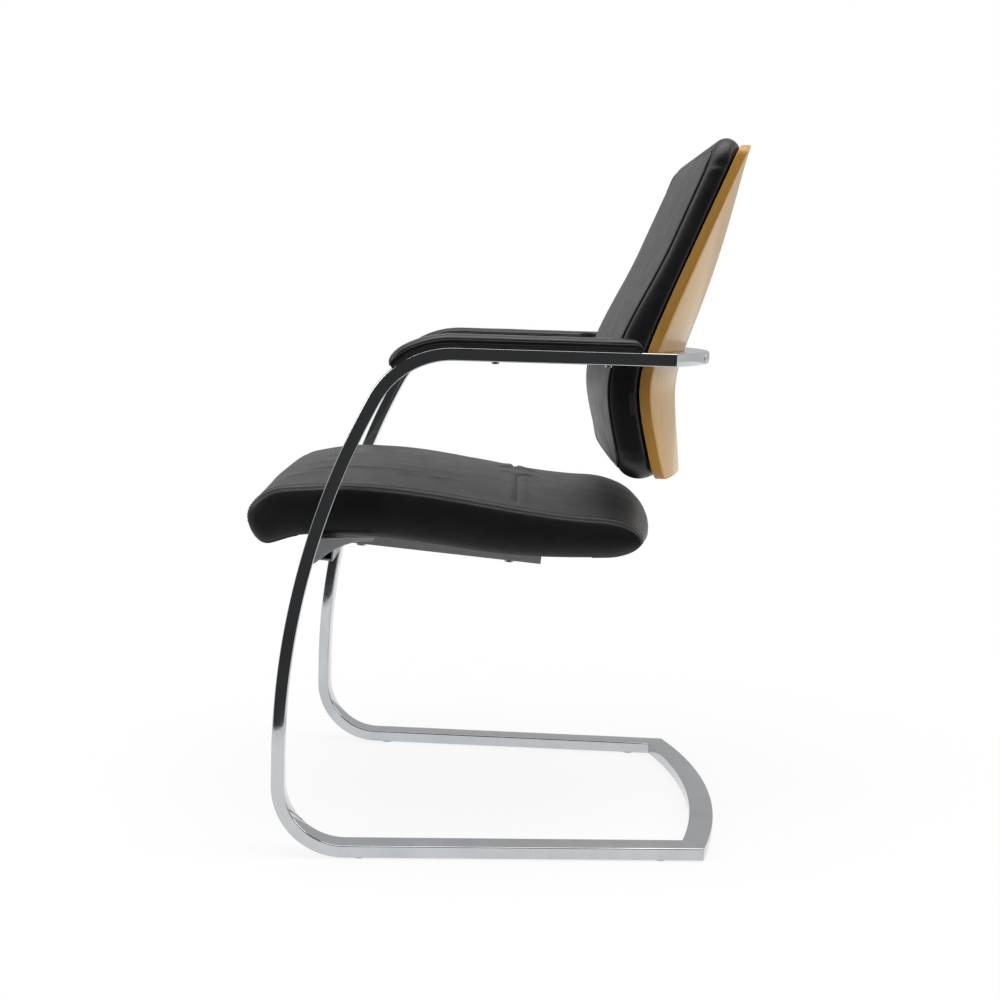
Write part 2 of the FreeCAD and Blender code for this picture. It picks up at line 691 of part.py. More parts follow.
head_height = value("shell_bolt_head_height")
back_bolts = [rod(angle, value("shell_bolt_head") / 2, -head_height, head_height).fuse(
    rod(angle, value("shell_bolt") / 2, 0, grip - value("shell_bolt_cover")))
    for angle in angles]
plain("back_shell_bolts", Part.makeCompound(back_bolts))


# Back cushion: thin at its sides, thick in the hollow of the shell.

def back_slice(height, inset):
    low, high = value("back_bottom"), value("back_top")
    share = (height - low) / (high - low)
    end = min(roll(height - low, value("back_round")), roll(high - height, value("back_round")))
    level = min(max(height, value("shell_bottom")), value("shell_top"))
    half = value("back_width") / 2 - (shell_half(value("bulge_height")) - shell_half(level))
    half -= inset + value("back_round") * (1 - end)
    gap = value("shell_thickness + seat_gap") + inset
    bulge = shell_bulge(level)
    radius = (shell_half(level) ** 2 + bulge ** 2) / (2 * bulge)
    centre = shell_edge(level) + bulge - radius + (height - level) * value("lean_above")
    rear = radius - gap
    side_y = centre + math.sqrt(rear * rear - half * half)
    side = value("back_side") + (value("back_side_top") - value("back_side")) * share ** 2
    front_y = side_y - (side - 2 * inset) * fullness(end, value("back_end_fullness"))
    front_mid = front_y - value("back_crown") * end
    puff = value("back_side_bulge") * end
    height += inset * (1 - 2 * share)
    ends = [Vector(-half, side_y, height), Vector(half, side_y, height),
            Vector(half, front_y, height), Vector(-half, front_y, height)]
    middle_y = (side_y + front_y) / 2
    return Part.Wire([
        arc_through(ends[0], Vector(0, centre + rear, height), ends[1]),
        arc_through(ends[1], Vector(half + puff, middle_y, height), ends[2]),
        arc_through(ends[2], Vector(0, front_mid, height), ends[3]),
        arc_through(ends[3], Vector(-half - puff, middle_y, height), ends[0])])


def back_form(inset):
    heights = stations(value("back_bottom"), value("back_top"),
                       value("back_round"), value("back_round"), 6)
    return Part.makeLoft([back_slice(height, inset) for height in heights], True, True)


panel_space = shell_form(
    value("shell_bottom + inner_panel_inset - seat_gap"),
    value("shell_top - inner_panel_inset + seat_gap"), 6, value("shell_thickness - seat_gap"),
    value("inner_panel + 3 * seat_gap"), value("inner_panel_inset - seat_gap"))
shell_space = shell_form(value("shell_bottom") - overcut, value("shell_top") + overcut, 8,
                         -2 * value("shell_thickness"),
                         value("3 * shell_thickness + seat_gap"), -2 * value("back_round"))
back_core = back_form(value("leather"))
plain("back_foam", back_core.cut(panel_space).cut(shell_space))
plain("back_cover", back_form(0).cut(back_core).cut(panel_space).cut(shell_space))

tab_level = value("tab_level")
tab_depth = shell_edge(tab_level) - value("shell_thickness + back_side / 2")
plain("back_side_tab", Part.makeBox(
    value("tab_thickness"), value("tab_width"), value("tab_height"),
    Vector(value("back_width / 2 + back_side_bulge + seat_gap"),
           tab_depth - value("tab_width") / 2, tab_level - value("tab_height") / 2)))


# Arm pads: a moulded strip screwed to the arm, with a padded leather top.

def pad_block(low, high, inset, side):
    """A block along the arm's top and round its bend, from one level to another."""
    bend_y, hub_z = value("arm_bend_start"), value("arm_height - arm_bend")
    wrap = math.radians(value("pad_wrap")) - inset / value("arm_bend")
    rear = value("pad_rear") - inset
    inner, outer = value("arm_bend") + low, value("arm_bend") + high

    def around(radius, angle):
        return Vector(0, bend_y - radius * math.sin(angle), hub_z + radius * math.cos(angle))

    wire = Part.Wire([
        Part.makeLine(Vector(0, rear, hub_z + inner), around(inner, 0)),
        arc_through(around(inner, 0), around(inner, wrap / 2), around(inner, wrap)),
        Part.makeLine(around(inner, wrap), around(outer, wrap)),
        arc_through(around(outer, wrap), around(outer, wrap / 2), around(outer, 0)),
        Part.makeLine(around(outer, 0), Vector(0, rear, hub_z + outer)),
        Part.makeLine(Vector(0, rear, hub_z + outer), Vector(0, rear, hub_z + inner))])
    width = value("pad_width") - 2 * inset
    block = Part.Face(wire).extrude(Vector(-side * width, 0, 0))
    block.translate(Vector(-side * inset, 0, 0))
    return block


def soft_edges(block, radius):
    """Round the long top edges of a pad."""
    top = value("arm_height") + radius
    long_edges = [edge for edge in block.Edges
                  if edge.BoundBox.ZMax > top and edge.BoundBox.YLength > radius
                  and edge.BoundBox.XLength < 0.01]
    return block.makeFillet(radius, long_edges)


def notch(inset, side):
    """What is left free at a pad's rear inner corner, where the back cushion passes it."""
    edge = value("pad_width") + overcut
    step = value("pad_width - pad_notch") - inset
    start, run = value("pad_notch_start") - inset, value("pad_notch_run")
    end, low = value("pad_rear") + overcut, value("arm_height") - overcut
    points = [Vector(-side * x, y, low) for x, y in
              ((edge, start), (step, start + run), (step, end), (edge, end), (edge, start))]
    return Part.Face(Part.makePolygon(points)).extrude(Vector(0, 0, value("2 * pad_height")))


def upright_rod(x, y, low, high, radius):
    return Part.makeCylinder(radius, high - low, Vector(x, y, low))


for name, side in (("left", 1), ("right", -1)):
    core_top = value("pad_core")
    lift = value("seat_gap")
    skin = value("leather")
    seats = [(-side * value("tube_width / 2"), value(depth))
             for depth in ("pad_screw_front", "pad_screw_rear")]
    arm_top, arm_under = value("arm_height"), value("arm_height - tube_depth")
    core = pad_block(0, core_top, 0, side).cut(notch(0, side))
    for x, y in seats:
        core = core.cut(upright_rod(x, y, arm_top - overcut, arm_top + core_top + overcut,
                                    value("pad_screw / 2 + hole_play")))
    plain(name + "_arm_pad_core", beside(core, side))
    outer = soft_edges(pad_block(core_top, value("pad_height"), 0, side), value("pad_nose"))
    outer = outer.cut(notch(0, side))
    inner = soft_edges(pad_block(core_top, value("pad_height") - skin, skin, side),
                       value("pad_nose") - skin).cut(notch(skin, side))
    plain(name + "_arm_pad_foam", beside(inner, side))
    plain(name + "_arm_pad_cover", beside(outer.cut(inner), side))
    screws = []
    for x, y in seats:
        head = upright_rod(x, y, arm_under - value("pad_screw_head_height"), arm_under,
                           value("pad_screw_head / 2"))
        shank = upright_rod(x, y, arm_under, arm_top + core_top - lift, value("pad_screw / 2"))
        screws.append(head.fuse(shank))
    plain(name + "_arm_pad_screws", beside(Part.makeCompound(screws), side))


# Check every object, then write each piece to its own file.
doc.recompute()
for item in doc.Objects:
    if "Invalid" in item.State or "Error" in item.State:
        raise RuntimeError("%s did not build: %s" % (item.Name, item.State))
inside = {arm_bar.Name, bar_holes.Name}
kinds = ("PartDesign::Body", "Part::Feature", "Part::Cut")
pieces = [item for item in doc.Objects if item.TypeId in kinds and item.Name not in inside]
for piece in pieces:
    if piece.Shape.isNull() or not piece.Shape.isValid() or not piece.Shape.Solids:
        raise RuntimeError("%s has no sound shape" % piece.Label)
for piece in pieces:
    piece.Shape.exportStep(os.path.join("parts", piece.Label + ".step"))
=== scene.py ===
import math

import bmesh
import bpy
from mathutils import Matrix, Vector, noise

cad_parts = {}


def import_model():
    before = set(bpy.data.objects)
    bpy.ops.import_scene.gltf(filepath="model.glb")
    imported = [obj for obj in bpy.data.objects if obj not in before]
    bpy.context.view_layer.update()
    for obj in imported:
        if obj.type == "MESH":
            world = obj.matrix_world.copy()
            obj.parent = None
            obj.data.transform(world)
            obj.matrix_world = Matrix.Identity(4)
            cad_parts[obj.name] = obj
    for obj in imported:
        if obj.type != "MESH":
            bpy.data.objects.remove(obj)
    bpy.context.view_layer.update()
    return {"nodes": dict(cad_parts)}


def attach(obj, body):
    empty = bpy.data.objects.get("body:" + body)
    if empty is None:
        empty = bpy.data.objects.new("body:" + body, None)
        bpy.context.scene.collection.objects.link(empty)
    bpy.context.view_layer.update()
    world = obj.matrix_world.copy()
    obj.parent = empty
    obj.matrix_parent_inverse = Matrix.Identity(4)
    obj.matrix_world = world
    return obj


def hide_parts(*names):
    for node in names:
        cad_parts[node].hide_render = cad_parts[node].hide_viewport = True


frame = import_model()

MM = 0.001

# Sizes of the chair in millimetres, as the solids have them.
# Depths run rearwards from the front face of the legs, heights run up from the floor.
LEG_FRONT = -268.5
WIDTH_FRONT = 551
TOE = math.radians(3.19)
TUBE_WIDTH, TUBE_DEPTH, TUBE_CORNER = 32, 16, 1.6
GLIDE = 2
LOWER_BEND, BOW_START = 92, 130
ARM_HEIGHT, ARM_BEND, ARM_BEND_START = 638, 115, 212
ARM_CORNER, BASE_CORNER, BASE_BOW = 480, 543, 38
BOW_RADIUS = ((ARM_BEND_START ** 2 + (ARM_HEIGHT - ARM_BEND - BOW_START) ** 2 - ARM_BEND ** 2)
              / (2 * (ARM_BEND_START - ARM_BEND)))

SHELL_BOTTOM, SHELL_TOP, SHELL_WIDTH, SHELL_NARROWING = 480, 893, 428, 14
SHELL_THICKNESS, SHELL_WAIST, WAIST_HEIGHT, WAIST_SOFTNESS = 12, 453, 600, 40
LEAN_ABOVE, LEAN_BELOW = 0.42, 0.28
SHELL_BULGE, SHELL_BULGE_TOP, BULGE_HEIGHT = 55, 17, 640
SEAT_GAP = 0.3


def place(x, depth, height):
    """A point of the chair in metres, from millimetres with a depth behind the legs' front."""
    return Vector((x, depth + LEG_FRONT, height)) * MM


# Materials.

class Nodes:
    """A short way to build a material's node tree."""

    def __init__(self, name):
        self.material = bpy.data.materials.new(name)
        self.material.use_nodes = True
        self.tree = self.material.node_tree
        self.shader = self.tree.nodes["Principled BSDF"]

    def add(self, kind, **settings):
        node = self.tree.nodes.new(kind)
        for key, setting in settings.items():
            setattr(node, key, setting)
        return node

    def link(self, out, into):
        self.tree.links.new(out, into)

    def feed(self, source, socket):
        """Link a node's output into a socket, or set the socket to a value."""
        if hasattr(source, "is_output"):
            self.link(source, socket)
        else:
            socket.default_value = (*source, 1) if isinstance(source, tuple) else source

    def coords(self, scale=(1, 1, 1)):
        mapping = self.add("ShaderNodeMapping")
        mapping.inputs["Scale"].default_value = scale
        self.link(self.add("ShaderNodeTexCoord").outputs["Object"], mapping.inputs["Vector"])
        return mapping.outputs["Vector"]

    def noise(self, vector, scale, detail=4.0, rough=0.5, distortion=0.0):
        node = self.add("ShaderNodeTexNoise")
        node.inputs["Scale"].default_value = scale
        node.inputs["Detail"].default_value = detail
        node.inputs["Roughness"].default_value = rough
        node.inputs["Distortion"].default_value = distortion
        self.link(vector, node.inputs["Vector"])
        return node.outputs["Fac"]

    def ramp(self, value, stops):
        node = self.add("ShaderNodeValToRGB")
        while len(node.color_ramp.elements) < len(stops):
            node.color_ramp.elements.new(0.5)
        for element, (position, colour) in zip(node.color_ramp.elements, stops):
            element.position = position
            element.color = (*colour, 1)
        self.link(value, node.inputs["Fac"])
        return node.outputs["Color"]

    def spread(self, value, low, high, start=0.0, end=1.0):
        node = self.add("ShaderNodeMapRange")
        node.inputs["From Min"].default_value = start
        node.inputs["From Max"].default_value = end
        node.inputs["To Min"].default_value = low
        node.inputs["To Max"].default_value = high
        self.link(value, node.inputs["Value"])
        return node.outputs["Result"]

    def mix(self, factor, one, other):
        node = self.add("ShaderNodeMix", data_type="RGBA")
        for index, source in ((0, factor), (6, one), (7, other)):
            self.feed(source, node.inputs[index])
        return node.outputs[2]

    def math(self, operation, one, other=None):
        node = self.add("ShaderNodeMath", operation=operation)
        self.feed(one, node.inputs[0])
        if other is not None:
            self.feed(other, node.inputs[1])
        return node.outputs[0]

    def bump(self, height, strength, distance, onto=None):
        node = self.add("ShaderNodeBump")
        node.inputs["Strength"].default_value = strength
        node.inputs["Distance"].default_value = distance
        self.link(height, node.inputs["Height"])
        if onto:
            self.link(onto, node.inputs["Normal"])
        return node.outputs["Normal"]

    def into(self, name, source):
        self.feed(source, self.shader.inputs[name])


def leather_material(name, dark, pale, rough_low, rough_high, grain=0.35):
    """Black upholstery leather: pebbled grain, soft creases and uneven sheen."""
    n = Nodes(name)
    vector = n.coords()
    blotch = n.noise(vector, 9, 3)
    cells = n.add("ShaderNodeTexVoronoi", feature="DISTANCE_TO_EDGE")
    cells.inputs["Scale"].default_value = 620
    n.link(vector, cells.inputs["Vector"])
    pebble = n.spread(cells.outputs["Distance"], 0, 1, 0.0, 0.28)
    fine = n.noise(vector, 1500, 2)
    creases = n.noise(vector, 70, 5, 0.6, 0.8)
    n.into("Base Color", n.mix(n.spread(blotch, 0, 1, 0.3, 0.7), dark, pale))
    rough = n.spread(n.noise(vector, 35, 4), rough_low, rough_high, 0.3, 0.7)
    n.into("Roughness", rough)
    n.into("Specular IOR Level", 0.5)
    soft = n.bump(creases, 0.12, 0.0008)
    pebbled = n.bump(pebble, grain, 0.00018, soft)
    n.into("Normal", n.bump(fine, 0.08, 0.00008, pebbled))
    return n.material


def chrome_material(name, colour):
    """Polished chrome plate with faint smears, fine hazing and a few wiped scratches."""
    n = Nodes(name)
    vector = n.coords()
    n.into("Metallic", 1.0)
    haze = n.noise(vector, 14, 5, 0.62)
    tint = tuple(part * 0.88 for part in colour)
    n.into("Base Color", n.mix(n.spread(haze, 0, 1, 0.35, 0.7), colour, tint))
    n.into("Roughness", n.spread(n.noise(vector, 55, 5, 0.7), 0.035, 0.11, 0.35, 0.75))
    scratch = n.noise(n.coords((900, 25, 900)), 1, 2, 0.4)
    n.into("Normal", n.bump(scratch, 0.02, 0.0002))
    return n.material


def wood_material(name, light, mid, dark):
    """Lacquered beech veneer: long grain with short flecks, glossy clear coat."""
    n = Nodes(name)
    vector = n.coords((60, 60, 3.2))
    grain = n.noise(vector, 1.3, 6, 0.6, 1.2)
    flecks = n.noise(n.coords((420, 420, 42)), 1, 2, 0.5)
    wide = n.noise(n.coords((9, 9, 1.2)), 1, 3, 0.5, 0.6)
    ground = n.ramp(grain, [(0.25, dark), (0.5, mid), (0.78, light)])
    toned = n.mix(n.spread(wide, 0.0, 0.55, 0.35, 0.7), ground, mid)
    mark = n.spread(flecks, 0.0, 0.5, 0.58, 0.72)
    n.into("Base Color", n.mix(mark, toned, tuple(part * 0.72 for part in mid)))
    n.into("Roughness", n.spread(grain, 0.26, 0.4, 0.3, 0.7))
    n.into("Coat Weight", 0.35)
    n.into("Coat Roughness", 0.12)
    n.into("Normal", n.bump(grain, 0.06, 0.0003))
    return n.material


def ply_edge_material(name, pale, deep):
    """The shell's sawn edge: plies side by side across its thickness."""
    n = Nodes(name)
    split = n.add("ShaderNodeSeparateXYZ")
    uv = n.add("ShaderNodeTexCoord")
    n.link(uv.outputs["UV"], split.inputs["Vector"])
    layers = n.math("SINE", n.math("MULTIPLY", split.outputs["Y"], math.pi * 2 * 4.5))
    vector = n.coords((90, 90, 14))
    grain = n.noise(vector, 1.5, 5, 0.6, 0.5)
    stripes = n.math("ADD", n.spread(layers, 0.0, 0.62, -1, 1), n.spread(grain, 0, 0.55))
    n.into("Base Color", n.ramp(stripes, [(0.2, deep), (0.55, tuple(
        (a + b) / 2 for a, b in zip(pale, deep))), (0.95, pale)]))
    n.into("Roughness", n.spread(grain, 0.38, 0.55))
    n.into("Coat Weight", 0.2)
    n.into("Normal", n.bump(stripes, 0.15, 0.0002))
    return n.material


def plain_material(name, colour, rough, metallic=0.0, scale=300, relief=0.1):
    """Moulded plastic, thread, foam or plated steel with a fine uneven surface."""
    n = Nodes(name)
    vector = n.coords()
    speckle = n.noise(vector, scale, 3)
    n.into("Metallic", metallic)
    n.into("Base Color", n.mix(speckle, tuple(part * 0.85 for part in colour), colour))
    n.into("Roughness", n.spread(speckle, rough * 0.85, rough * 1.15, 0.3, 0.7))
    n.into("Normal", n.bump(speckle, relief, 0.0002))
    return n.material


CHROME = chrome_material("chrome_plate", (0.56, 0.58, 0.6))
STEEL = plain_material("zinc_steel", (0.56, 0.57, 0.58), 0.32, 1.0, 500, 0.05)
# Lit and shaded copies of one black leather: the top panels of seat and back are written lighter,
# a painted sheen where they catch the overhead light.
LEATHER_LIT_TOP = leather_material("leather_panel_painted_sheen", (0.026, 0.027, 0.026), (0.034, 0.035, 0.034),
                               0.40, 0.50)
# The side bands are written darker than the top panels: painted shade on the same leather.
LEATHER_SHADED_SIDE = leather_material("leather_side_painted_shade", (0.0055, 0.006, 0.0062),
                                (0.008, 0.0086, 0.009), 0.32, 0.42)
LEATHER_PAD = leather_material("leather_pad", (0.005, 0.0055, 0.0055), (0.008, 0.0085, 0.0085),
                               0.26, 0.36, 0.15)
BRACKET = plain_material("satin_bracket", (0.42, 0.43, 0.44), 0.4, 0.2, 400, 0.05)
PIPING = leather_material("leather_piping", (0.012, 0.013, 0.013), (0.02, 0.02, 0.02),
                          0.3, 0.4, 0.2)
# Near-black cord laid in the seat's seams and darts: painted shade in their grooves.
SEAM_SHADE = plain_material("seam_shadow", (0.002, 0.002, 0.002), 0.8)
THREAD = plain_material("black_thread", (0.02, 0.02, 0.021), 0.6, 0, 3000, 0.3)
DUST = plain_material("black_lining", (0.012, 0.012, 0.012), 0.85, 0, 1200, 0.4)
WOOD = wood_material("beech_veneer", (0.66, 0.40, 0.125), (0.58, 0.335, 0.09),
                     (0.47, 0.245, 0.055))
PLY_EDGE = ply_edge_material("ply_edge", (0.56, 0.30, 0.055), (0.44, 0.21, 0.035))
RAW_PLY = wood_material("raw_ply", (0.66, 0.48, 0.28), (0.58, 0.4, 0.22), (0.45, 0.3, 0.15))
FOAM = plain_material("foam", (0.75, 0.7, 0.55), 0.9, 0, 900, 0.5)
NYLON = plain_material("black_nylon", (0.018, 0.018, 0.018), 0.45, 0, 900, 0.15)
TAB = plain_material("woven_tab", (0.008, 0.008, 0.008), 0.7, 0, 2200, 0.6)


# Mesh helpers.

def add_object(name, data):
    item = bpy.data.objects.new(name, data)
    bpy.context.scene.collection.objects.link(item)
    return item


def make(name, verts, faces, material, smooth=True, nodes=()):
    """A mesh piece that rides on the chair and stands for the given nodes."""
    mesh = bpy.data.meshes.new(name)
    mesh.from_pydata([tuple(v) for v in verts], [], faces)
    mesh.validate()
    piece = add_object(name, mesh)
    bm = bmesh.new()
    bm.from_mesh(mesh)
    bmesh.ops.remove_doubles(bm, verts=bm.verts, dist=1e-6)
    bmesh.ops.recalc_face_normals(bm, faces=bm.faces)
    bm.to_mesh(mesh)
    bm.free()
    for polygon in mesh.polygons:
        polygon.use_smooth = smooth
    piece.data.materials.append(material)
    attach(piece, "root")
    if nodes:
        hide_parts(*nodes)
    return piece


def strip_faces(rows, columns, close_rows=False, close_columns=False):
    """Quads of a grid of points stored row by row."""
    faces = []
    for i in range(rows if close_rows else rows - 1):
        for j in range(columns if close_columns else columns - 1):
            a, b = i * columns + j, i * columns + (j + 1) % columns
            k = (i + 1) % rows
            faces.append((a, b, k * columns + (j + 1) % columns, k * columns + j))
    return faces


def rim_faces(rows, columns, layer=0):
    """Quads that join the rims of two grids stored one after the other."""
    size = rows * columns
    border = ([j for j in range(columns)]
              + [i * columns + columns - 1 for i in range(1, rows)]
              + [(rows - 1) * columns + j for j in range(columns - 2, -1, -1)]
              + [i * columns for i in range(rows - 2, 0, -1)])
    return [(layer * size + a, layer * size + b, (layer + 1) * size + b, (layer + 1) * size + a)
            for a, b in zip(border, border[1:] + border[:1])]


def end_caps(rows, columns):
    """The two faces that close a run of closed sections."""
    return [tuple(range(columns)), tuple((rows - 1) * columns + i for i in range(columns))]


def sharpen(piece, degrees):
    """Smooth shading that breaks at real edges."""
    modifier = piece.modifiers.new("edges", "EDGE_SPLIT")
    modifier.split_angle = math.radians(degrees)
    modifier.use_edge_sharp = False


def rounded_rect(half_wide, half_high, radius, steps=4):
    """The outline of a rectangle with round corners, counter-clockwise."""
    outline = []
    for corner, (sx, sy) in enumerate(((1, -1), (1, 1), (-1, 1), (-1, -1))):
        for step in range(steps + 1):
            angle = math.radians(-90 + 90 * corner + 90 * step / steps)
            outline.append((sx * (half_wide - radius) + radius * math.cos(angle),
                            sy * (half_high - radius) + radius * math.sin(angle)))
    return outline


# Chrome tube frame.

def frame_run(depth):
    """Points down the tube at a depth under its outside, from runner to arm, with frames."""
    points = []
    heel = GLIDE + LOWER_BEND
    knee = Vector((ARM_BEND_START, ARM_HEIGHT - ARM_BEND))
    hub = Vector((BOW_RADIUS, BOW_START))
    lean = math.atan2(knee.y - hub.y, hub.x - knee.x)
    low, bow, arm = LOWER_BEND - depth, BOW_RADIUS - depth, ARM_BEND - depth
    points.append((BASE_CORNER / math.cos(TOE), GLIDE + depth, -90))
    for step in range(25):
        angle = math.radians(270 - 90 * step / 24)
        points.append((LOWER_BEND + low * math.cos(angle), heel + low * math.sin(angle),
                       math.degrees(angle)))
    for step in range(1, 49):
        angle = math.pi - lean * step / 48
        points.append((hub.x + bow * math.cos(angle), hub.y + bow * math.sin(angle),
                       math.degrees(angle)))
    for step in range(1, 33):
        angle = math.pi - lean - (math.pi / 2 - lean) * step / 32
        points.append((knee.x + arm * math.cos(angle), knee.y + arm * math.sin(angle),
                       math.degrees(angle)))
    points.append((ARM_CORNER / math.cos(TOE), ARM_HEIGHT - depth, 90))
    return points


def turn_beside(side, x, along, height):
    """A point drawn in the plane of a side frame, as a point of the chair."""
    cosine, sine = math.cos(side * TOE), math.sin(side * TOE)
    return place(side * WIDTH_FRONT / 2 + x * cosine - along * sine,
                 x * sine + along * cosine, height)


def side_frame(side, name, node):
    """One bent tube with mitred ends, its corners eased as drawn tube has them."""
    section = rounded_rect(TUBE_WIDTH / 2, TUBE_DEPTH / 2, TUBE_CORNER)
    count = len(section)
    run = frame_run(TUBE_DEPTH / 2)
    last = len(run) - 1
    verts = []
    for index, (along, height, angle) in enumerate(run):
        turn = math.radians(angle)
        outward = Vector((math.cos(turn), math.sin(turn)))
        for across, up in section:
            x = -side * TUBE_WIDTH / 2 + across
            shift = 0.0
            if index == 0:
                shift = mitre_shift(side * x, base_mitre())
            elif index == last:
                shift = mitre_shift(side * x, arm_mitre())
            a = along + outward.x * up - shift
            h = height + outward.y * up
            verts.append(turn_beside(side, x, a, h))
    faces = strip_faces(len(run), count, close_columns=True) + end_caps(len(run), count)
    piece = make(name, verts, faces, CHROME, nodes=(node,))
    sharpen(piece, 32)


def mitre_shift(inward, angle):
    """How much sooner the tube ends at a distance inside its outer face."""
    return -inward / math.tan(angle)


def bar_facts(corner, bow):
    """Half the width between a bar's corners, its radius and half its turn."""
    half = WIDTH_FRONT / 2 - corner * math.tan(TOE)
    radius = (half ** 2 + bow ** 2) / (2 * bow)
    return half, radius, math.asin(half / radius)


def base_mitre():
    """The angle between a runner and the mitre line at the base."""
    return math.radians(45) + (TOE + bar_facts(BASE_CORNER, BASE_BOW)[2]) / 2


def arm_bow():
    """How far the arm bar reaches round the shell behind its corners."""
    return shell_edge(ARM_HEIGHT) + SHELL_BULGE + SEAT_GAP + TUBE_WIDTH - ARM_CORNER


def arm_mitre():
    """The angle between an arm and the mitre line behind the back."""
    return math.radians(45) + (TOE + bar_facts(ARM_CORNER, arm_bow())[2]) / 2


def crossbar(name, node, corner, bow, mitre, low):
    """A flat arc of tube between the two mitres."""
    half, radius, _ = bar_facts(corner, bow)
    centre = corner + bow - radius
    section = rounded_rect(TUBE_WIDTH / 2, TUBE_DEPTH / 2, TUBE_CORNER)
    steps = 64
    lean = mitre - TOE
    verts = []
    for step in range(steps + 1):
        share = 2 * step / steps - 1
        for across, up in section:
            r = radius - TUBE_WIDTH / 2 + across
            end = mitre_reach(half, centre, corner, lean, r)
            angle = share * math.asin(end / r)
            verts.append(place(r * math.sin(angle), centre + r * math.cos(angle),
                               low + TUBE_DEPTH / 2 + up))
    count = len(section)
    faces = strip_faces(steps + 1, count, close_columns=True) + end_caps(steps + 1, count)
    piece = make(name, verts, faces, CHROME, nodes=(node,))
    sharpen(piece, 32)


def mitre_reach(half, centre, corner, lean, r):
    """Half the width of the bar's arc of radius r, where the mitre line crosses it."""
    low, high = 0.0, TUBE_WIDTH * 3
    for _ in range(40):
        middle = (low + high) / 2
        x = half - middle * math.sin(lean)
        y = corner - middle * math.cos(lean) - centre
        if math.hypot(x, y) > r:
            low = middle
        else:
            high = middle
    return half - low * math.sin(lean)


# Shell.

def shell_edge(height):
    """Depth of the rear face at the shell's sides: two slopes with a soft bend between."""
    rise = height - WAIST_HEIGHT
    return (SHELL_WAIST + (LEAN_ABOVE - LEAN_BELOW) / 2 * rise + (LEAN_ABOVE + LEAN_BELOW) / 2
            * (math.sqrt(rise * rise + WAIST_SOFTNESS ** 2) - WAIST_SOFTNESS))


def bulge_share(height):
    """0 at the fullest level, 1 at the shell's top."""
    return (height - BULGE_HEIGHT) / (SHELL_TOP - BULGE_HEIGHT)


def shell_bulge(height):
    """How far the shell's middle stands behind its sides."""
    return SHELL_BULGE - (SHELL_BULGE - SHELL_BULGE_TOP) * bulge_share(height) ** 2


def shell_half(height):
    """Half the shell's width."""
    return (SHELL_WIDTH - SHELL_NARROWING * bulge_share(height) ** 2) / 2


def shell_point(x, height, forward):
    """A point at a distance in front of the shell's rear face."""
    level = min(max(height, SHELL_BOTTOM), SHELL_TOP)
    half, bulge = shell_half(level), shell_bulge(level)
    radius = (half ** 2 + bulge ** 2) / (2 * bulge)
    centre = shell_edge(level) + bulge - radius
    if height > SHELL_TOP:
        centre += (height - SHELL_TOP) * LEAN_ABOVE
    if height < SHELL_BOTTOM:
        centre += (SHELL_BOTTOM - height) * LEAN_BELOW * 0.6
    r = radius - forward
    return centre + math.sqrt(max(r * r - x * x, 1.0))


SHELL_CORNER = 14
EDGE_EASE = 0.8


def shell():
    """The moulded wooden back: two veneered faces and an edge that shows its plies."""
    across, up, corner_steps = 72, 96, 8
    columns = across + 1

    def half_at(height):
        half = shell_half(height)
        for end, sign in ((SHELL_TOP, 1), (SHELL_BOTTOM, -1)):
            near = SHELL_CORNER - sign * (end - height)
            if near > 0:
                near = min(near, SHELL_CORNER)
                half -= SHELL_CORNER - math.sqrt(SHELL_CORNER ** 2 - near ** 2)
        return half

    rounding = [SHELL_CORNER * (1 - math.cos(math.pi / 2 * step / corner_steps))
                for step in range(corner_steps + 1)]
    heights = [SHELL_BOTTOM + rise for rise in rounding]
    middle = up - 2 * corner_steps
    for step in range(1, middle):
        heights.append(SHELL_BOTTOM + SHELL_CORNER
                       + (SHELL_TOP - SHELL_BOTTOM - 2 * SHELL_CORNER) * step / middle)
    heights += [SHELL_TOP - drop for drop in reversed(rounding)]
    rows = len(heights)
    layers = ((0, EDGE_EASE), (EDGE_EASE, 0), (SHELL_THICKNESS - EDGE_EASE, 0),
              (SHELL_THICKNESS, EDGE_EASE))
    verts, uvs = [], []
    for forward, ease in layers:
        for height in heights:
            half = half_at(height) - ease
            z = min(max(height, SHELL_BOTTOM + ease), SHELL_TOP - ease)
            for j in range(columns):
                x = half * (2 * j / across - 1)
                verts.append(place(x, shell_point(x, z, forward), z))
                uvs.append((j / across, forward / SHELL_THICKNESS))
    size = rows * columns
    rear = strip_faces(rows, columns)
    front = [tuple(3 * size + i for i in face) for face in rear]
    edge = [face for layer in range(3) for face in rim_faces(rows, columns, layer)]
    faces = rear + front + edge
    mesh = bpy.data.meshes.new("shell_wood")
    mesh.from_pydata([tuple(v) for v in verts], [], faces)
    layer = mesh.uv_layers.new(name="UVMap")
    for loop in mesh.loops:
        layer.data[loop.index].uv = uvs[loop.vertex_index]
    mesh.materials.append(WOOD)
    mesh.materials.append(PLY_EDGE)
    first_edge = len(rear) + len(front)
    for index, polygon in enumerate(mesh.polygons):
        polygon.use_smooth = True
        polygon.material_index = 1 if index >= first_edge else 0
    piece = add_object("back_shell_wood", mesh)
    bm = bmesh.new()
    bm.from_mesh(mesh)
    loose = [v for v in bm.verts if not v.link_faces]
    bmesh.ops.delete(bm, geom=loose, context="VERTS")
    bmesh.ops.recalc_face_normals(bm, faces=bm.faces)
    bm.to_mesh(mesh)
    bm.free()
    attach(piece, "root")
    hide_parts("back_shell")
    sharpen(piece, 38)


# Seat cushion.

SEAT_WIDTH, SEAT_TAPER = 468, 10
SEAT_FRONT, SEAT_REAR = -37, 448
SEAT_FRONT_HEIGHT, SEAT_REAR_HEIGHT, SEAT_PEAK, SEAT_DIP = 462, 429, 83, 415
SEAT_CROWN, SEAT_REAR_CROWN = 21.5, 22
UNDER_FRONT, UNDER_LOW, UNDER_START, UNDER_END = 402, 381, 80, 330
NOSE_DROP, NOSE_PLACE, NOSE_WIDTH, TAIL_RISE = 13, -20, 32, 4
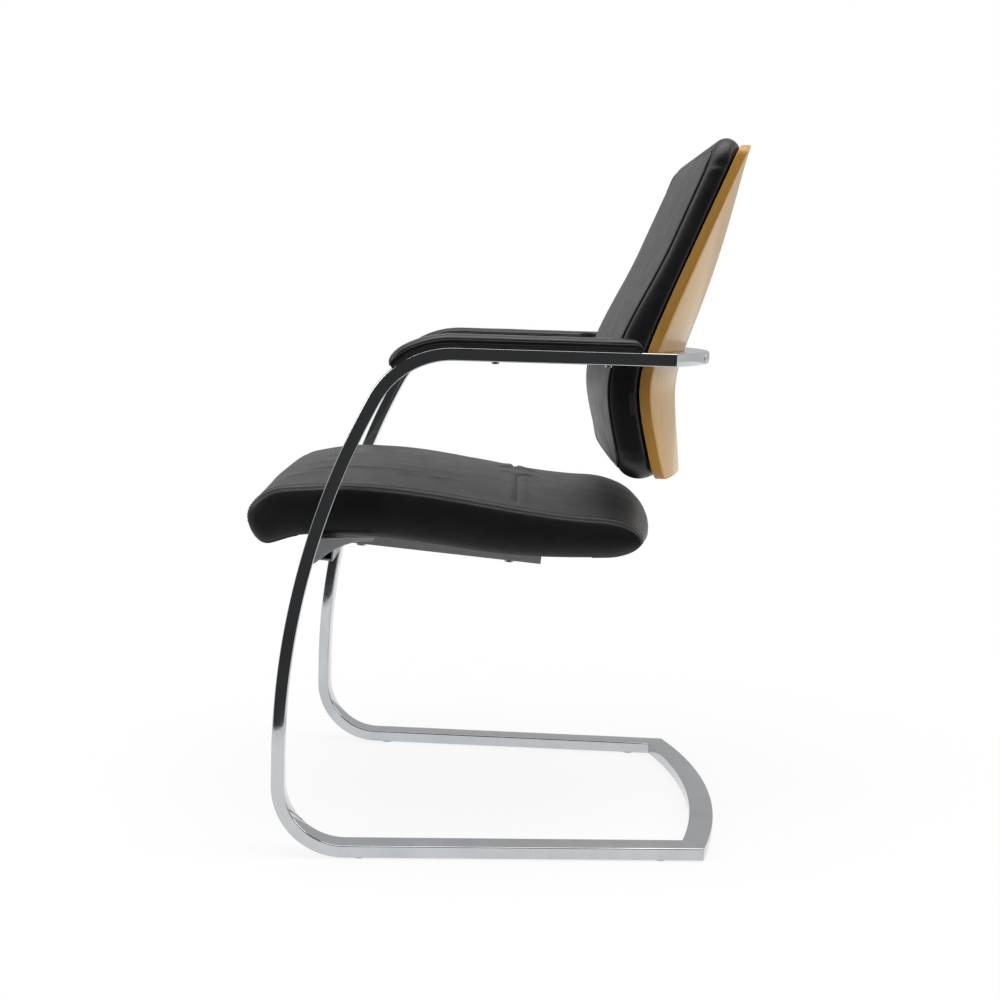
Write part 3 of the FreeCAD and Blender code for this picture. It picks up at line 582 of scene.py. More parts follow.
# Height of the blunt tips in front and behind, and the radii above and below them.
TIP_FRONT, TIP_REAR = 422, 402
FRONT_OVER, REAR_OVER, FRONT_UNDER, REAR_UNDER = 40, 52, 26, 40
SIDE_PUFF, SIDE_STEPS, TOP_STEPS = 4.5, 16, 150
SEAM_TUCK, SEAM_REACH, EDGE_ROLL = 3.0, 16, 2.6


def seat_seam(depth):
    """Height of the side seam."""
    wave = (1 + math.cos(math.pi * (depth - SEAT_PEAK) / (SEAT_DIP - SEAT_PEAK))) / 2
    return SEAT_REAR_HEIGHT + (SEAT_FRONT_HEIGHT - SEAT_REAR_HEIGHT) * wave


def quarter(distance, radius):
    """A quarter circle's rise from 0 to 1 over its radius."""
    rest = min(1.0, max(0.0, 1 - distance / radius))
    return math.sqrt(1 - rest * rest)


def gauss(value, width):
    return math.exp(-(value / width) ** 2)


def seat_under(depth):
    """Height of the side panel's lower edge."""
    share = min(1.0, max(0.0, (depth - UNDER_START) / (UNDER_END - UNDER_START)))
    height = UNDER_LOW + (UNDER_FRONT - UNDER_LOW) * (1 + math.cos(math.pi * share)) / 2
    nose_drop = NOSE_DROP * gauss(depth - NOSE_PLACE, NOSE_WIDTH)
    tail_rise = TAIL_RISE * max(0.0, (depth - UNDER_END) / (SEAT_REAR - UNDER_END)) ** 2
    return height - nose_drop + tail_rise


def seat_limits(depth):
    """Bottom and top of the seat's side panel at a depth."""
    top, bottom = seat_seam(depth), seat_under(depth)
    share = (depth - SEAT_FRONT) / (SEAT_REAR - SEAT_FRONT)
    middle = TIP_FRONT + (TIP_REAR - TIP_FRONT) * share
    from_front, from_rear = depth - SEAT_FRONT, SEAT_REAR - depth
    top_full = min(quarter(from_front, FRONT_OVER), quarter(from_rear, REAR_OVER))
    low_full = min(quarter(from_front, FRONT_UNDER), quarter(from_rear, REAR_UNDER))
    return middle + (bottom - middle) * low_full, middle + (top - middle) * top_full


def seat_depths(steps=190):
    """Depths bunched at both rounded ends."""
    places = []
    for step in range(steps + 1):
        t = step / steps
        eased = t - 0.72 * math.sin(2 * math.pi * t) / (2 * math.pi)
        places.append(SEAT_FRONT + (SEAT_REAR - SEAT_FRONT) * eased)
    tip = [8 * (1 - math.cos(math.pi / 2 * s / 6)) for s in range(6)]
    inner = [p for p in places if SEAT_FRONT + 8 <= p <= SEAT_REAR - 8]
    return [SEAT_FRONT + t for t in tip] + inner + [SEAT_REAR - t for t in reversed(tip)]


DEPTHS = seat_depths()


def seat_half(depth):
    """Half the cushion's width at its side seams."""
    share = (depth - SEAT_FRONT) / (SEAT_REAR - SEAT_FRONT)
    return SEAT_WIDTH / 2 - SEAT_TAPER * share - 3 * math.sin(math.pi * share) ** 2


def seat_loop():
    """The seat's side outline from below the rear end, over the top, to below the nose."""
    bottom_rear = [(d, seat_limits(d)[0]) for d in DEPTHS if d > SEAT_REAR - 60]
    top = [(d, seat_limits(d)[1]) for d in reversed(DEPTHS)][1:-1]
    bottom_front = [(d, seat_limits(d)[0]) for d in DEPTHS if d < SEAT_FRONT + 60]
    return bottom_rear + top + bottom_front


def loop_normals(loop):
    """The outward direction at each point of the side outline."""
    normals = []
    for index in range(len(loop)):
        a = Vector(loop[max(index - 1, 0)])
        b = Vector(loop[min(index + 1, len(loop) - 1)])
        way = (b - a).normalized()
        normals.append(Vector((way.y, -way.x)))
    return normals


def crease(point, start, end, width, depth):
    """A soft valley with raised lips along a line between two plan points."""
    a, b, p = Vector(start), Vector(end), Vector(point)
    way = b - a
    t = (p - a).dot(way) / way.length_squared
    fade = max(0.0, 1 - max(0.0, abs(t - 0.5) * 2 - 0.55) / 0.45) if abs(t - 0.5) < 0.5 else 0.0
    off = (p - a - way * min(max(t, 0), 1)).length
    return fade * (-depth * gauss(off, width) + 0.45 * depth * gauss(off - 2.1 * width, width))


WRINKLES = [
    # start (x, depth), end (x, depth), width, depth
    ((150, 20), (146, 178), 2.2, 2.8),
    ((168, 128), (158, 222), 2.0, 2.2),
    ((128, 132), (126, 236), 3.4, 1.6),
    ((178, -4), (170, 62), 3.0, 1.2),
    ((108, 8), (112, 92), 4.0, 1.1),
    ((-148, 14), (-144, 170), 2.3, 2.4),
    ((-168, 112), (-160, 206), 2.0, 1.8),
    ((-126, 120), (-128, 226), 3.4, 1.3),
    ((-104, 0), (-110, 76), 4.0, 1.0),
    ((60, 30), (64, 130), 5.0, 0.8),
    ((-56, 24), (-62, 118), 5.0, 0.8),
]
DART_DEPTH, DART_INNER, DART_OUTER = 292, 52, 196


def seat_relief(x, depth):
    """Creases and sewn darts in the seat's top, in millimetres outward."""
    relief = sum(crease((x, depth), *wrinkle) for wrinkle in WRINKLES)
    side = abs(x)
    if DART_INNER - 25 < side < DART_OUTER + 25:
        inside = min(1.0, max(0.0, (side - DART_INNER + 8) / 16),
                     max(0.0, (DART_OUTER + 8 - side) / 16))
        off = depth - DART_DEPTH
        relief += inside * (-3.4 * gauss(off, 2.4) + 1.3 * gauss(abs(off) - 8, 5))
    for fork in (1, -1):
        start = (math.copysign(DART_INNER, x), DART_DEPTH)
        end = (math.copysign(DART_INNER - 34, x), DART_DEPTH + fork * 26)
        relief += crease((x, depth), start, end, 4.0, 2.6)
    relief += 1.0 * noise.noise(Vector((x / 60, depth / 90, 3.7)))
    relief += 0.35 * noise.noise(Vector((x / 22, depth / 38, 9.1)))
    return relief


def seat_surface(index, across):
    """A point of the wrapped top panel; across runs from -1 to 1 between the side seams."""
    depth, height = SEAT_LOOP[index]
    normal = SEAT_NORMALS[index]
    half = seat_half(depth)
    x = half * across
    fall = 1 - abs(across) ** 2.4
    edge = 1 - min(1.0, (1 - abs(across)) * half / SEAM_REACH)
    up, rear = max(0.0, normal.y), max(0.0, normal.x)
    under = min(1.0, max(0.0, -normal.y))
    begin = min(1.0, max(0.0, (depth - SEAT_FRONT - 8) / 95)) ** 0.5
    lift = fall * (SEAT_CROWN * up ** 1.5 * begin + SEAT_REAR_CROWN * rear ** 2) * (1 - under)
    lift += EDGE_ROLL * quarter((1 - abs(across)) * half, 9) * (1 - under * 0.7)
    if up > 0.4:
        lift += seat_relief(x, depth) * (1 - edge ** 2) * min(1.0, (up - 0.4) * 4)
    return x, depth + normal.x * lift, height + normal.y * lift


SEAT_LOOP = seat_loop()
SEAT_NORMALS = loop_normals(SEAT_LOOP)


def seat_top():
    """The leather panel that runs under the nose, over the top and down the rear."""
    shares = []
    for j in range(TOP_STEPS + 1):
        t = 2 * j / TOP_STEPS - 1
        shares.append(math.copysign(1 - (1 - abs(t)) ** 1.18, t))
    verts, rows = [], len(SEAT_LOOP)
    for index, ((depth, height), normal) in enumerate(zip(SEAT_LOOP, SEAT_NORMALS)):
        half = seat_half(depth)
        tucked = [((half - inset), depth - normal.x * tuck, height - normal.y * tuck)
                  for inset, tuck in ((1.2, SEAM_TUCK), (0.5, 1.0))]
        verts += [place(-x, d, h) for x, d, h in tucked]
        verts += [place(*seat_surface(index, share * (1 - 1.4 / half))) for share in shares]
        verts += [place(*point) for point in reversed(tucked)]
    columns = TOP_STEPS + 5
    piece = make("seat_top_leather", verts, strip_faces(rows, columns), LEATHER_LIT_TOP,
                 nodes=("seat_cover", "seat_foam"))


def seat_side(side, name):
    """A flat side panel, slightly puffed, tucked into the seam all round."""
    verts = []
    for row in range(SIDE_STEPS + 3):
        for depth in DEPTHS:
            low, high = seat_limits(depth)
            half = seat_half(depth)
            t = min(max((row - 1) / SIDE_STEPS, 0), 1)
            tall = max(high - low, 0.01)
            full = math.sin(math.pi * t) ** 0.6 if 0 < t < 1 else 0.0
            ends = min(quarter(depth - SEAT_FRONT, 22), quarter(SEAT_REAR - depth, 26))
            x = half - 0.6 + SIDE_PUFF * full * ends * min(1.0, tall / 40)
            inset = 0.5
            if row in (0, SIDE_STEPS + 2):
                x = half - 3.5
                inset = 0.2
            z = low + inset + (tall - 2 * inset) * t
            verts.append(place(side * x, depth, z))
    piece = make(name, verts, strip_faces(SIDE_STEPS + 3, len(DEPTHS)), LEATHER_SHADED_SIDE)


def seat_bottom():
    """The black lining under the cushion."""
    verts = []
    places = [d for d in DEPTHS if SEAT_FRONT + 40 < d < SEAT_REAR - 40]
    for depth in places:
        half = seat_half(depth) - 1
        low = seat_limits(depth)[0]
        for j in range(25):
            across = 2 * j / 24 - 1
            inward = min(1.0, (1 - abs(across)) * half / 30)
            verts.append(place(across * half, depth, low + 0.6 + 3.5 * inward))
    make("seat_lining", verts, strip_faces(len(places), 25), DUST)


def tube_along(name, points, radius, material, sides, closed=False):
    """A thin round cord through points, used for piping, pad seams and the painted shade lines in
    the seat's seams and darts.
    """
    verts = []
    count = len(points)
    for index, point in enumerate(points):
        before = points[index - 1] if index or closed else point
        after = points[(index + 1) % count] if index < count - 1 or closed else point
        way = (after - before).normalized()
        side = way.orthogonal().normalized() if index == 0 else (
            last - way * last.dot(way)).normalized()
        last = side
        up = way.cross(side)
        for step in range(sides):
            angle = 2 * math.pi * step / sides
            verts.append(point + (side * math.cos(angle) + up * math.sin(angle)) * radius)
    faces = strip_faces(count, sides, close_rows=closed, close_columns=True)
    if not closed:
        faces += end_caps(count, sides)
    make(name, verts, faces, material)


STITCH_PITCH, STITCH_LENGTH, STITCH_RADIUS = 4.2 * MM, 3.2 * MM, 0.35 * MM
# Along a stitch, the rise of its middle line and its thickness, as shares.
STITCH_FORM = ((-0.5, -0.5, 0.4), (-0.3, 0.45, 0.9), (0, 0.8, 1.0), (0.3, 0.45, 0.9),
               (0.5, -0.5, 0.4))


def stitches(name, points, normals):
    """Short threads lying on the surface along a seam, each sunk at its ends."""
    verts, faces, sides = [], [], 5
    total = 0.0
    marks = []
    for index in range(len(points) - 1):
        a, b = points[index], points[index + 1]
        span = (b - a).length
        while (len(marks) + 0.5) * STITCH_PITCH <= total + span:
            t = ((len(marks) + 0.5) * STITCH_PITCH - total) / span if span else 0
            marks.append((a.lerp(b, t), (b - a).normalized(),
                          normals[index].lerp(normals[index + 1], t).normalized()))
        total += span
    for middle, way, up in marks:
        side = way.cross(up).normalized()
        base = len(verts)
        for along, rise, thick in STITCH_FORM:
            centre = middle + way * along * STITCH_LENGTH + up * rise * STITCH_RADIUS
            for step in range(sides):
                angle = 2 * math.pi * step / sides
                verts.append(centre + (side * math.cos(angle) + up * math.sin(angle))
                             * STITCH_RADIUS * thick)
        rings = len(STITCH_FORM)
        for face in strip_faces(rings, sides, close_columns=True) + end_caps(rings, sides):
            faces.append(tuple(base + i for i in face))
    make(name, verts, faces, THREAD)


def seat_seams():
    """The sunk seam down each side of the seat's top with a near-black cord of painted shade in
    it, and the stitches beside it.
    """
    for side, label in ((1, "left"), (-1, "right")):
        line, above, normals = [], [], []
        for index, (depth, height) in enumerate(SEAT_LOOP):
            normal = SEAT_NORMALS[index]
            half = seat_half(depth)
            line.append(place(side * (half - 0.9), depth - normal.x * 1.5,
                              height - normal.y * 1.5))
            x, d, h = seat_surface(index, side * (1 - 5.5 / half))
            above.append(place(x, d, h))
            normals.append(Vector((side * 0.35, normal.x, normal.y)).normalized())
        tube_along("seat_seam_shade_" + label, line, 0.9 * MM, SEAM_SHADE, 6)
        keep = [i for i in range(len(above)) if SEAT_NORMALS[i].y > -0.3]
        stitches("seat_stitches_" + label, [above[i] for i in keep],
                 [normals[i] for i in keep])


def seat_darts():
    """A near-black cord of painted shade along the sewn dart on each side of the seat's top."""
    row = min(range(len(SEAT_LOOP)), key=lambda i: abs(SEAT_LOOP[i][0] - DART_DEPTH)
              - (1000 if SEAT_NORMALS[i].y > 0 else 0))
    depth = SEAT_LOOP[row][0]
    for side, label in ((1, "left"), (-1, "right")):
        line = []
        for step in range(25):
            x = side * (DART_INNER + (DART_OUTER - DART_INNER) * step / 24)
            _, d, h = seat_surface(row, x / seat_half(depth))
            line.append(place(x, d, h - 0.1))
        tube_along("seat_dart_shade_" + label, line, 0.75 * MM, SEAM_SHADE, 6)


# Back cushion.

BACK_BOTTOM, BACK_TOP, BACK_HALF = 491, 889, 212
BACK_PUFF, BACK_CAP, BAND_SINK, BAND_INSET, BAND_SETBACK = 5.5, 8.5, 7, 1.2, 1.5
BACK_CORNER = 26
BACK_CENTRE = 688


def back_half(height):
    """Half the cushion's width, a steady margin inside the shell's."""
    level = min(max(height, SHELL_BOTTOM), SHELL_TOP)
    return BACK_HALF - (shell_half(BULGE_HEIGHT) - shell_half(level))


def back_ring(steps_straight=60, steps_side=90, steps_corner=12):
    """The cushion's outline seen from the front, as (x, height) pairs."""
    ring = []
    r = BACK_CORNER
    for side, start, end in ((1, BACK_BOTTOM + r, BACK_TOP), (-1, BACK_TOP - r, BACK_BOTTOM)):
        flat = back_half(end) - r
        for step in range(steps_side):
            height = start + side * (BACK_TOP - BACK_BOTTOM - 2 * r) * step / steps_side
            ring.append((side * back_half(height), height))
        for number in (0, 1):
            for step in range(steps_corner):
                angle = math.pi / 2 * (1 - side + number + step / steps_corner)
                ring.append((side * (1 - 2 * number) * flat + r * math.cos(angle),
                             end - side * r + r * math.sin(angle)))
            if number == 0:
                ring += [(side * flat * (1 - 2 * step / steps_straight), end)
                         for step in range(steps_straight)]
    return ring


BACK_RING = back_ring()
BACK_DEPTH_LOW, BACK_DEPTH_HIGH, BACK_CROWN = 50, 40, 9
THIN_FROM, THIN_TO = 640, 775


def back_front(height):
    """Depth of the front panel's seam at the sides."""
    share = min(1.0, max(0.0, (height - THIN_FROM) / (THIN_TO - THIN_FROM)))
    depth = BACK_DEPTH_LOW + (BACK_DEPTH_HIGH - BACK_DEPTH_LOW) * share * share * (3 - 2 * share)
    return shell_edge(height) - depth


def back_panel_point(x, height):
    """The front panel's surface, nearly flat across and crowned to the middle."""
    half = back_half(height)
    over = min(quarter(BACK_TOP - height, 48), quarter(height - BACK_BOTTOM, 110))
    across = abs(x) / half
    fall = (1 - min(1.0, across) ** 2.2) * over
    ease = quarter(min(half - abs(x), BACK_TOP - height, height - BACK_BOTTOM), 10)
    relief = 0.8 * noise.noise(Vector((x / 70, height / 90, 5.1)))
    relief += 0.3 * noise.noise(Vector((x / 25, height / 33, 2.2)))
    return back_front(height) - BACK_CROWN * fall - 2.4 * ease + relief * fall


def band_span(x, z, out):
    """Where the band starts behind the front panel, and its depth to the shell."""
    edge = Vector((x, z)) - out * (BAND_INSET + BAND_SETBACK)
    start = back_panel_point(edge.x, edge.y) + BAND_SETBACK
    return start, shell_point(x * 0.985, z, SHELL_THICKNESS + SEAT_GAP) - start


def band_puff(t, cap):
    """How far the band stands out at a share of its depth; cap is 1 above and below."""
    puff = (BACK_PUFF + BACK_CAP * cap) * max(0.0, math.sin(math.pi * t)) ** 0.55
    return puff - BAND_SINK * (max(0.0, t - 0.75) / 0.25) ** 2 * (1 - cap)


def back_cushion():
    """Front panel, boxed sides and the bead sewn between them."""
    ring = BACK_RING
    count = len(ring)
    centre = Vector((0, BACK_CENTRE))
    shares = [1.0, 0.995, 0.985, 0.97, 0.95, 0.925] + [0.9 - 0.9 * s / 40 for s in range(41)]
    verts = []
    for number, share in enumerate(shares):
        for x, z in ring:
            p = centre.lerp(Vector((x, z)), share * (1 - 2.5 / BACK_HALF))
            y = back_panel_point(p.x, p.y)
            if number == 0:
                y += 4.0
            verts.append(place(p.x, y, p.y))
    faces = strip_faces(len(shares), count, close_columns=True)
    front = make("back_front_leather", verts, faces, LEATHER_LIT_TOP,
                 nodes=("back_cover", "back_foam"))

    verts = []
    steps = 26
    bead, above, normals = [], [], []
    for index, (x, z) in enumerate(ring):
        ahead, behind = ring[(index + 1) % count], ring[index - 1]
        way = Vector(ahead) - Vector(behind)
        out = Vector((way.y, -way.x)).normalized()
        inner = Vector((x, z)) - out * BAND_INSET
        y_front, depth = band_span(x, z, out)
        bead.append(place(inner.x - out.x * 0.4, y_front - 1.0, inner.y - out.y * 0.4))
        above.append(place(inner.x + out.x * 2.4, y_front + 4.2, inner.y + out.y * 2.4))
        normals.append(Vector((out.x, -0.5, out.y)).normalized())
        column = [place(inner.x - out.x * 2.5, y_front + 5.0, inner.y - out.y * 2.5)]
        for step in range(steps + 1):
            t = step / steps
            end = out * band_puff(t, abs(out.y) ** 1.5)
            column.append(place(inner.x + end.x, y_front + depth * t, inner.y + end.y))
        verts.append(column)
    rows = len(verts[0])
    flat = [verts[i][j] for i in range(count) for j in range(rows)]
    faces = strip_faces(count, rows, close_rows=True)
    band = make("back_band_leather", flat, faces, LEATHER_SHADED_SIDE)
    tube_along("back_bead", bead, 1.5 * MM, PIPING, 10, closed=True)
    stitches("back_stitches", above + above[:1], normals + normals[:1])


TAB_LOW, TAB_HIGH, TAB_NEAR, TAB_FAR = 560, 588, 0.60, 0.84


def side_tab():
    """The small bare tab sewn onto the left side of the back cushion."""
    across, up = 8, 12
    verts = []
    for lift in (-1.2, 1.1):
        for row in range(up + 1):
            z = TAB_LOW + (TAB_HIGH - TAB_LOW) * row / up
            x = back_half(z)
            y_front, depth = band_span(x, z, Vector((1, 0)))
            for column in range(across + 1):
                t = TAB_NEAR + (TAB_FAR - TAB_NEAR) * column / across
                verts.append(place(x - BAND_INSET + band_puff(t, 0) + lift,
                                   y_front + depth * t, z))
    size = (across + 1) * (up + 1)
    inner = strip_faces(up + 1, across + 1)
    outer = [tuple(size + i for i in face) for face in inner]
    rim = rim_faces(up + 1, across + 1)
    piece = make("back_tab_cloth", verts, inner + outer + rim, TAB,
                 nodes=("back_side_tab",))
    sharpen(piece, 40)


# Arm pads.

PAD_WIDTH, PAD_REAR, PAD_WRAP, PAD_HEIGHT, PAD_CORE = 46, 438, 40, 15, 4
PAD_NOTCH, PAD_NOTCH_LENGTH = 13, 46


def pad_run(steps_bend=30, steps_flat=46):
    """Stations along the arm's top: place, height, lean and how far from each end."""
    run = []
    length_bend = math.radians(PAD_WRAP) * ARM_BEND
    total = length_bend + PAD_REAR - ARM_BEND_START
    for step in range(steps_bend + 1):
        eased = 1 - math.cos(math.pi / 2 * step / steps_bend)
        gone = length_bend * eased
        angle = math.radians(90) + (length_bend - gone) / ARM_BEND
        run.append((ARM_BEND_START + ARM_BEND * math.cos(angle),
                    ARM_HEIGHT - ARM_BEND + ARM_BEND * math.sin(angle), angle, gone,
                    total - gone))
    for step in range(1, steps_flat + 1):
        eased = math.sin(math.pi / 2 * step / steps_flat)
        along = ARM_BEND_START + (PAD_REAR - ARM_BEND_START) * eased
        gone = length_bend + along - ARM_BEND_START
        run.append((along, ARM_HEIGHT, math.pi / 2, gone, total - gone))
    return run


def arm_pad(side, label):
    """The padded leather top on its moulded strip."""
    run = pad_run()
    profile = []
    half = PAD_WIDTH / 2
    for step in range(37):
        angle = math.pi * step / 36
        c, s = math.cos(angle), math.sin(angle)
        profile.append((half * math.copysign(abs(c) ** 0.42, c), s ** 0.5 if s > 0 else 0.0))
    profile = [(half - 2.0, -0.06), (half - 0.4, 0.0)] + profile[1:-1] + [
        (-half + 0.4, 0.0), (-half + 2.0, -0.06)]
    verts = []
    seams = {"outer": [], "inner": []}
    for along, height, angle, gone, left in run:
        out = Vector((math.cos(angle), math.sin(angle)))
        taper = 0.12 + 0.88 * quarter(gone, 26)
        tail = 0.25 + 0.75 * quarter(left, 9)
        rise = (PAD_HEIGHT - PAD_CORE + 1.2) * taper * tail
        narrow = 1 - 0.16 * (1 - quarter(gone, 18))
        notch = PAD_NOTCH * min(1.0, max(0.0, (PAD_NOTCH_LENGTH - left) / 18)) ** 0.8
        for across, up in profile:
            shifted = across * narrow
            if shifted < 0:
                shifted *= 1 - notch / half
            swell = 0.8 * noise.noise(Vector((along / 40, across / 20, side)))
            r = PAD_CORE + rise * up + swell * max(0, up) * 0.5
            x = -side * half + side * shifted
            verts.append(turn_beside(side, x, along + out.x * r, height + out.y * r))
        r = PAD_CORE + rise * 0.42
        for place_of, share in (("outer", 1), ("inner", notch / half - 1)):
            x = -side * half + side * half * 0.985 * narrow * share
            seams[place_of].append(turn_beside(side, x, along + out.x * r, height + out.y * r))
    columns = len(profile)
    faces = strip_faces(len(run), columns) + end_caps(len(run), columns)
    pad = make(label + "_pad_leather", verts, faces, LEATHER_PAD,
               nodes=(label + "_arm_pad_cover", label + "_arm_pad_foam"))
    sharpen(pad, 60)
    for place_of, line in seams.items():
        tube_along(label + "_pad_seam_" + place_of, line, 0.8 * MM, PIPING, 6)


# Small metal pieces.

BRACKET_LOW, BRACKET_HIGH, BRACKET_SIDE, BRACKET_THICKNESS = 366, 399, 0.3, 3.0
BRACKET_REACH, BRACKET_TIP, BRACKET_UNDER = 120, 401, 398


def bracket(side, label):
    """The curved gusset welded behind the leg, where it carries the seat's front tube."""
    hub_radius = BOW_RADIUS - TUBE_DEPTH
    outline = []
    for step in range(7):
        height = BRACKET_LOW + (BRACKET_HIGH - BRACKET_LOW) * step / 6
        outline.append((BOW_RADIUS - math.sqrt(hub_radius ** 2 - (height - BOW_START) ** 2) - 1,
                        height))
    outline += [(BRACKET_REACH, BRACKET_TIP), (BRACKET_REACH, BRACKET_UNDER)]
    for step in range(9):
        t = step / 8
        outline.append((BRACKET_REACH - 3 - 66 * t, BRACKET_UNDER - 1 - 27 * t ** 2.2))
    verts = []
    for inset in (BRACKET_SIDE, BRACKET_SIDE + BRACKET_THICKNESS):
        for depth, height in outline:
            verts.append(turn_beside(side, -side * (TUBE_WIDTH - inset), depth, height))
    count = len(outline)
    faces = [tuple(range(count)), tuple(range(count, 2 * count))]
    faces += [(i, (i + 1) % count, count + (i + 1) % count, count + i) for i in range(count)]
    piece = make(label + "_leg_bracket", verts, faces, BRACKET, smooth=False)
    bevel = piece.modifiers.new("ease", "BEVEL")
    bevel.width = 0.6 * MM
    bevel.segments = 2


# Radius and height of a bolt's head from its rim, over its dome, into its socket.
BOLT_RINGS = ((7.2, -0.4), (7.2, 0.5), (6.6, 1.0), (5.2, 1.5), (3.3, 1.6), (3.0, 0.6), (0.01, 0.6))
BOLT_SPREAD, BOLT_SIDES = 10, 32


def shell_bolts():
    """Low domed heads of the four bolts that hold the shell, on the arm bar's rear face."""
    radius = bar_facts(ARM_CORNER, arm_bow())[1]
    centre = ARM_CORNER + arm_bow() - radius
    verts, faces = [], []
    for step in (-1.5, -0.5, 0.5, 1.5):
        angle = math.radians(BOLT_SPREAD * step)
        way = Vector((math.sin(angle), math.cos(angle), 0))
        beside = Vector((way.y, -way.x, 0))
        base = len(verts)
        for size, out in BOLT_RINGS:
            hub = way * (radius + out) + Vector((0, centre, ARM_HEIGHT - TUBE_DEPTH / 2))
            for spoke in range(BOLT_SIDES):
                turned = 2 * math.pi * spoke / BOLT_SIDES
                point = hub + (beside * math.cos(turned)
                               + Vector((0, 0, 1)) * math.sin(turned)) * size
                verts.append(place(*point))
        for face in strip_faces(len(BOLT_RINGS), BOLT_SIDES, close_columns=True):
            faces.append(tuple(base + i for i in face))
    piece = make("shell_bolt_heads", verts, faces, STEEL, nodes=("back_shell_bolts",))
    sharpen(piece, 35)


# Build everything.

side_frame(1, "left_frame_chrome", "left_side_frame")
side_frame(-1, "right_frame_chrome", "right_side_frame")
crossbar("base_bar_chrome", "base_rear_crossbar", BASE_CORNER, BASE_BOW, base_mitre(), GLIDE)
crossbar("arm_bar_chrome", "arm_rear_crossbar", ARM_CORNER, arm_bow(), arm_mitre(),
         ARM_HEIGHT - TUBE_DEPTH)
shell()
seat_top()
seat_side(1, "seat_side_left")
seat_side(-1, "seat_side_right")
seat_bottom()
seat_seams()
seat_darts()
bracket(1, "left")
bracket(-1, "right")
shell_bolts()
back_cushion()
side_tab()
arm_pad(1, "left")
arm_pad(-1, "right")

SURFACES = (
    (CHROME, "left_side_frame right_side_frame base_rear_crossbar arm_rear_crossbar"),
    (BRACKET, "seat_front_crossbar left_seat_rail right_seat_rail"),
    (STEEL, "seat_bolts back_shell_bolts left_arm_pad_screws right_arm_pad_screws"),
    (NYLON, "floor_glides left_arm_pad_core right_arm_pad_core"),
    (FOAM, "seat_foam back_foam left_arm_pad_foam right_arm_pad_foam"),
    (LEATHER_LIT_TOP, "seat_cover"),
    (LEATHER_SHADED_SIDE, "back_cover left_arm_pad_cover right_arm_pad_cover"),
    (DUST, "seat_panel"), (RAW_PLY, "back_inner_panel"), (WOOD, "back_shell"),
    (TAB, "back_side_tab"),
)
for material, nodes in SURFACES:
    for node in nodes.split():
        for slot in frame["nodes"][node].material_slots:
            slot.material = material


# Floor, light and camera.

def stage_material(name, colour):
    """A pale ground that shows as plain white behind the chair and keeps its shadow."""
    n = Nodes(name)
    speck = n.noise(n.coords(), 3, 2)
    n.into("Base Color", n.mix(speck, tuple(part * 0.985 for part in colour), colour))
    n.into("Roughness", 0.6)
    path = n.add("ShaderNodeLightPath")
    glow = n.add("ShaderNodeEmission")
    glow.inputs["Strength"].default_value = 1.0
    mixed = n.add("ShaderNodeMixShader")
    reach = n.add("ShaderNodeVectorMath", operation="LENGTH")
    n.link(n.coords(), reach.inputs[0])
    glow_share = n.spread(reach.outputs["Value"], 0.86, 1.0, 0.5, 0.95)
    seen = n.math("MULTIPLY", n.math("MAXIMUM", path.outputs["Is Camera Ray"],
                                     path.outputs["Is Glossy Ray"]), glow_share)
    n.link(seen, mixed.inputs["Fac"])
    n.link(n.shader.outputs["BSDF"], mixed.inputs[1])
    n.link(glow.outputs["Emission"], mixed.inputs[2])
    n.link(mixed.outputs["Shader"], n.tree.nodes["Material Output"].inputs["Surface"])
    return n.material


def floor():
    """The ground, which ends past the chair on the camera's side."""
    far, near = 9.0, 0.85
    verts = [(-far, -far, 0), (near, -far, 0), (near, far, 0), (-far, far, 0)]
    mesh = bpy.data.meshes.new("floor")
    mesh.from_pydata(verts, [], [(0, 1, 2, 3)])
    plane = add_object("floor", mesh)
    mesh.materials.append(stage_material("studio_floor", (0.86, 0.86, 0.86)))


def lamp(name, place_at, look_at, size, power, colour=(1, 1, 1)):
    data = bpy.data.lights.new(name, "AREA")
    data.shape = "RECTANGLE"
    data.size, data.size_y = size
    data.energy = power
    data.color = colour
    item = add_object(name, data)
    item.location = place_at
    item.rotation_euler = (Vector(look_at) - Vector(place_at)).to_track_quat(
        "-Z", "Y").to_euler()


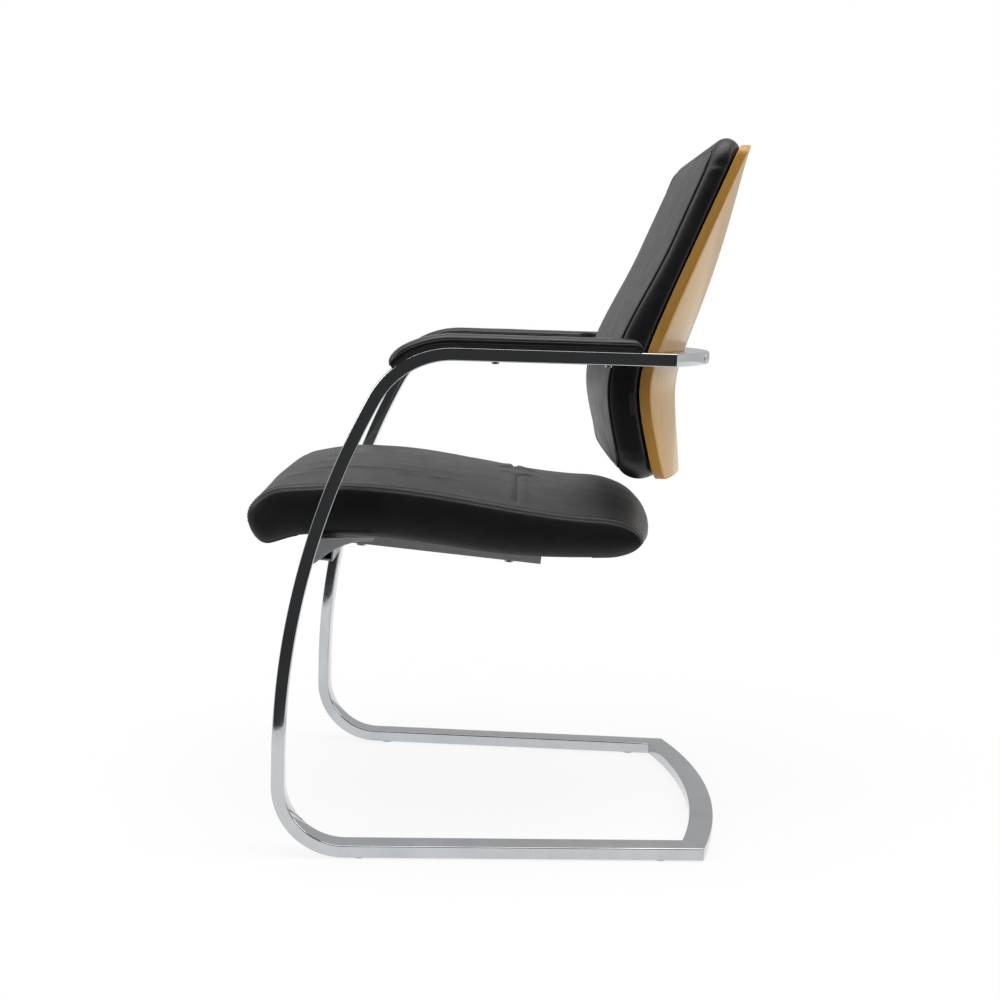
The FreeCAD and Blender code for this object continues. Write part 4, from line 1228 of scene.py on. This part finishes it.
def world():
    """Soft even light, darker towards +X so that the chrome has something to mirror."""
    sky = bpy.data.worlds.new("studio")
    bpy.context.scene.world = sky
    sky.use_nodes = True
    tree = sky.node_tree
    background = tree.nodes["Background"]
    path = tree.nodes.new("ShaderNodeLightPath")
    coords = tree.nodes.new("ShaderNodeTexCoord")
    split = tree.nodes.new("ShaderNodeSeparateXYZ")
    tree.links.new(coords.outputs["Generated"], split.inputs["Vector"])
    ramp = tree.nodes.new("ShaderNodeValToRGB")
    levels = ((0.0, 0.5), (0.3, 0.85), (0.6, 0.75), (0.78, 0.05))
    while len(ramp.color_ramp.elements) < len(levels):
        ramp.color_ramp.elements.new(0.5)
    for element, (position, level) in zip(ramp.color_ramp.elements, levels):
        element.position = position
        element.color = (level, level, level, 1)
    spread = tree.nodes.new("ShaderNodeMapRange")
    spread.inputs["From Min"].default_value = -1
    tree.links.new(split.outputs["X"], spread.inputs["Value"])
    tree.links.new(spread.outputs["Result"], ramp.inputs["Fac"])
    mix = tree.nodes.new("ShaderNodeMix")
    mix.data_type = "RGBA"
    mix.inputs[7].default_value = (1, 1, 1, 1)
    tree.links.new(path.outputs["Is Camera Ray"], mix.inputs[0])
    tree.links.new(ramp.outputs["Color"], mix.inputs[6])
    tree.links.new(mix.outputs[2], background.inputs["Color"])
    background.inputs["Strength"].default_value = 1.0


floor()
world()
lamp("overhead", (0.6, 0.0, 3.0), (0, 0, 0.4), (2.6, 2.6), 60)
lamp("front_left", (1.6, -2.6, 2.2), (0, 0, 0.5), (1.6, 1.6), 35)
lamp("behind", (0.4, 2.8, 1.9), (0, 0, 0.6), (1.5, 1.5), 22)

camera_data = bpy.data.cameras.new("camera")
camera_data.lens = 54.33
camera_data.sensor_width = 36
camera = add_object("camera", camera_data)
bpy.context.scene.camera = camera
YAW, PITCH, ROLL = math.radians(0.43), math.radians(7.36), math.radians(1.8)
EYE = Vector((2075.4, -10.5, 690)) * MM
forward = Vector((-math.cos(YAW) * math.cos(PITCH), math.sin(YAW) * math.cos(PITCH),
                  -math.sin(PITCH)))
right = forward.cross(Vector((0, 0, 1))).normalized()
up = right.cross(forward)
rolled_right = right * math.cos(ROLL) + up * math.sin(ROLL)
rolled_up = -right * math.sin(ROLL) + up * math.cos(ROLL)
camera.matrix_world = Matrix((
    (rolled_right.x, rolled_up.x, -forward.x, EYE.x),
    (rolled_right.y, rolled_up.y, -forward.y, EYE.y),
    (rolled_right.z, rolled_up.z, -forward.z, EYE.z), (0, 0, 0, 1)))

bpy.context.scene.view_settings.view_transform = "Standard"
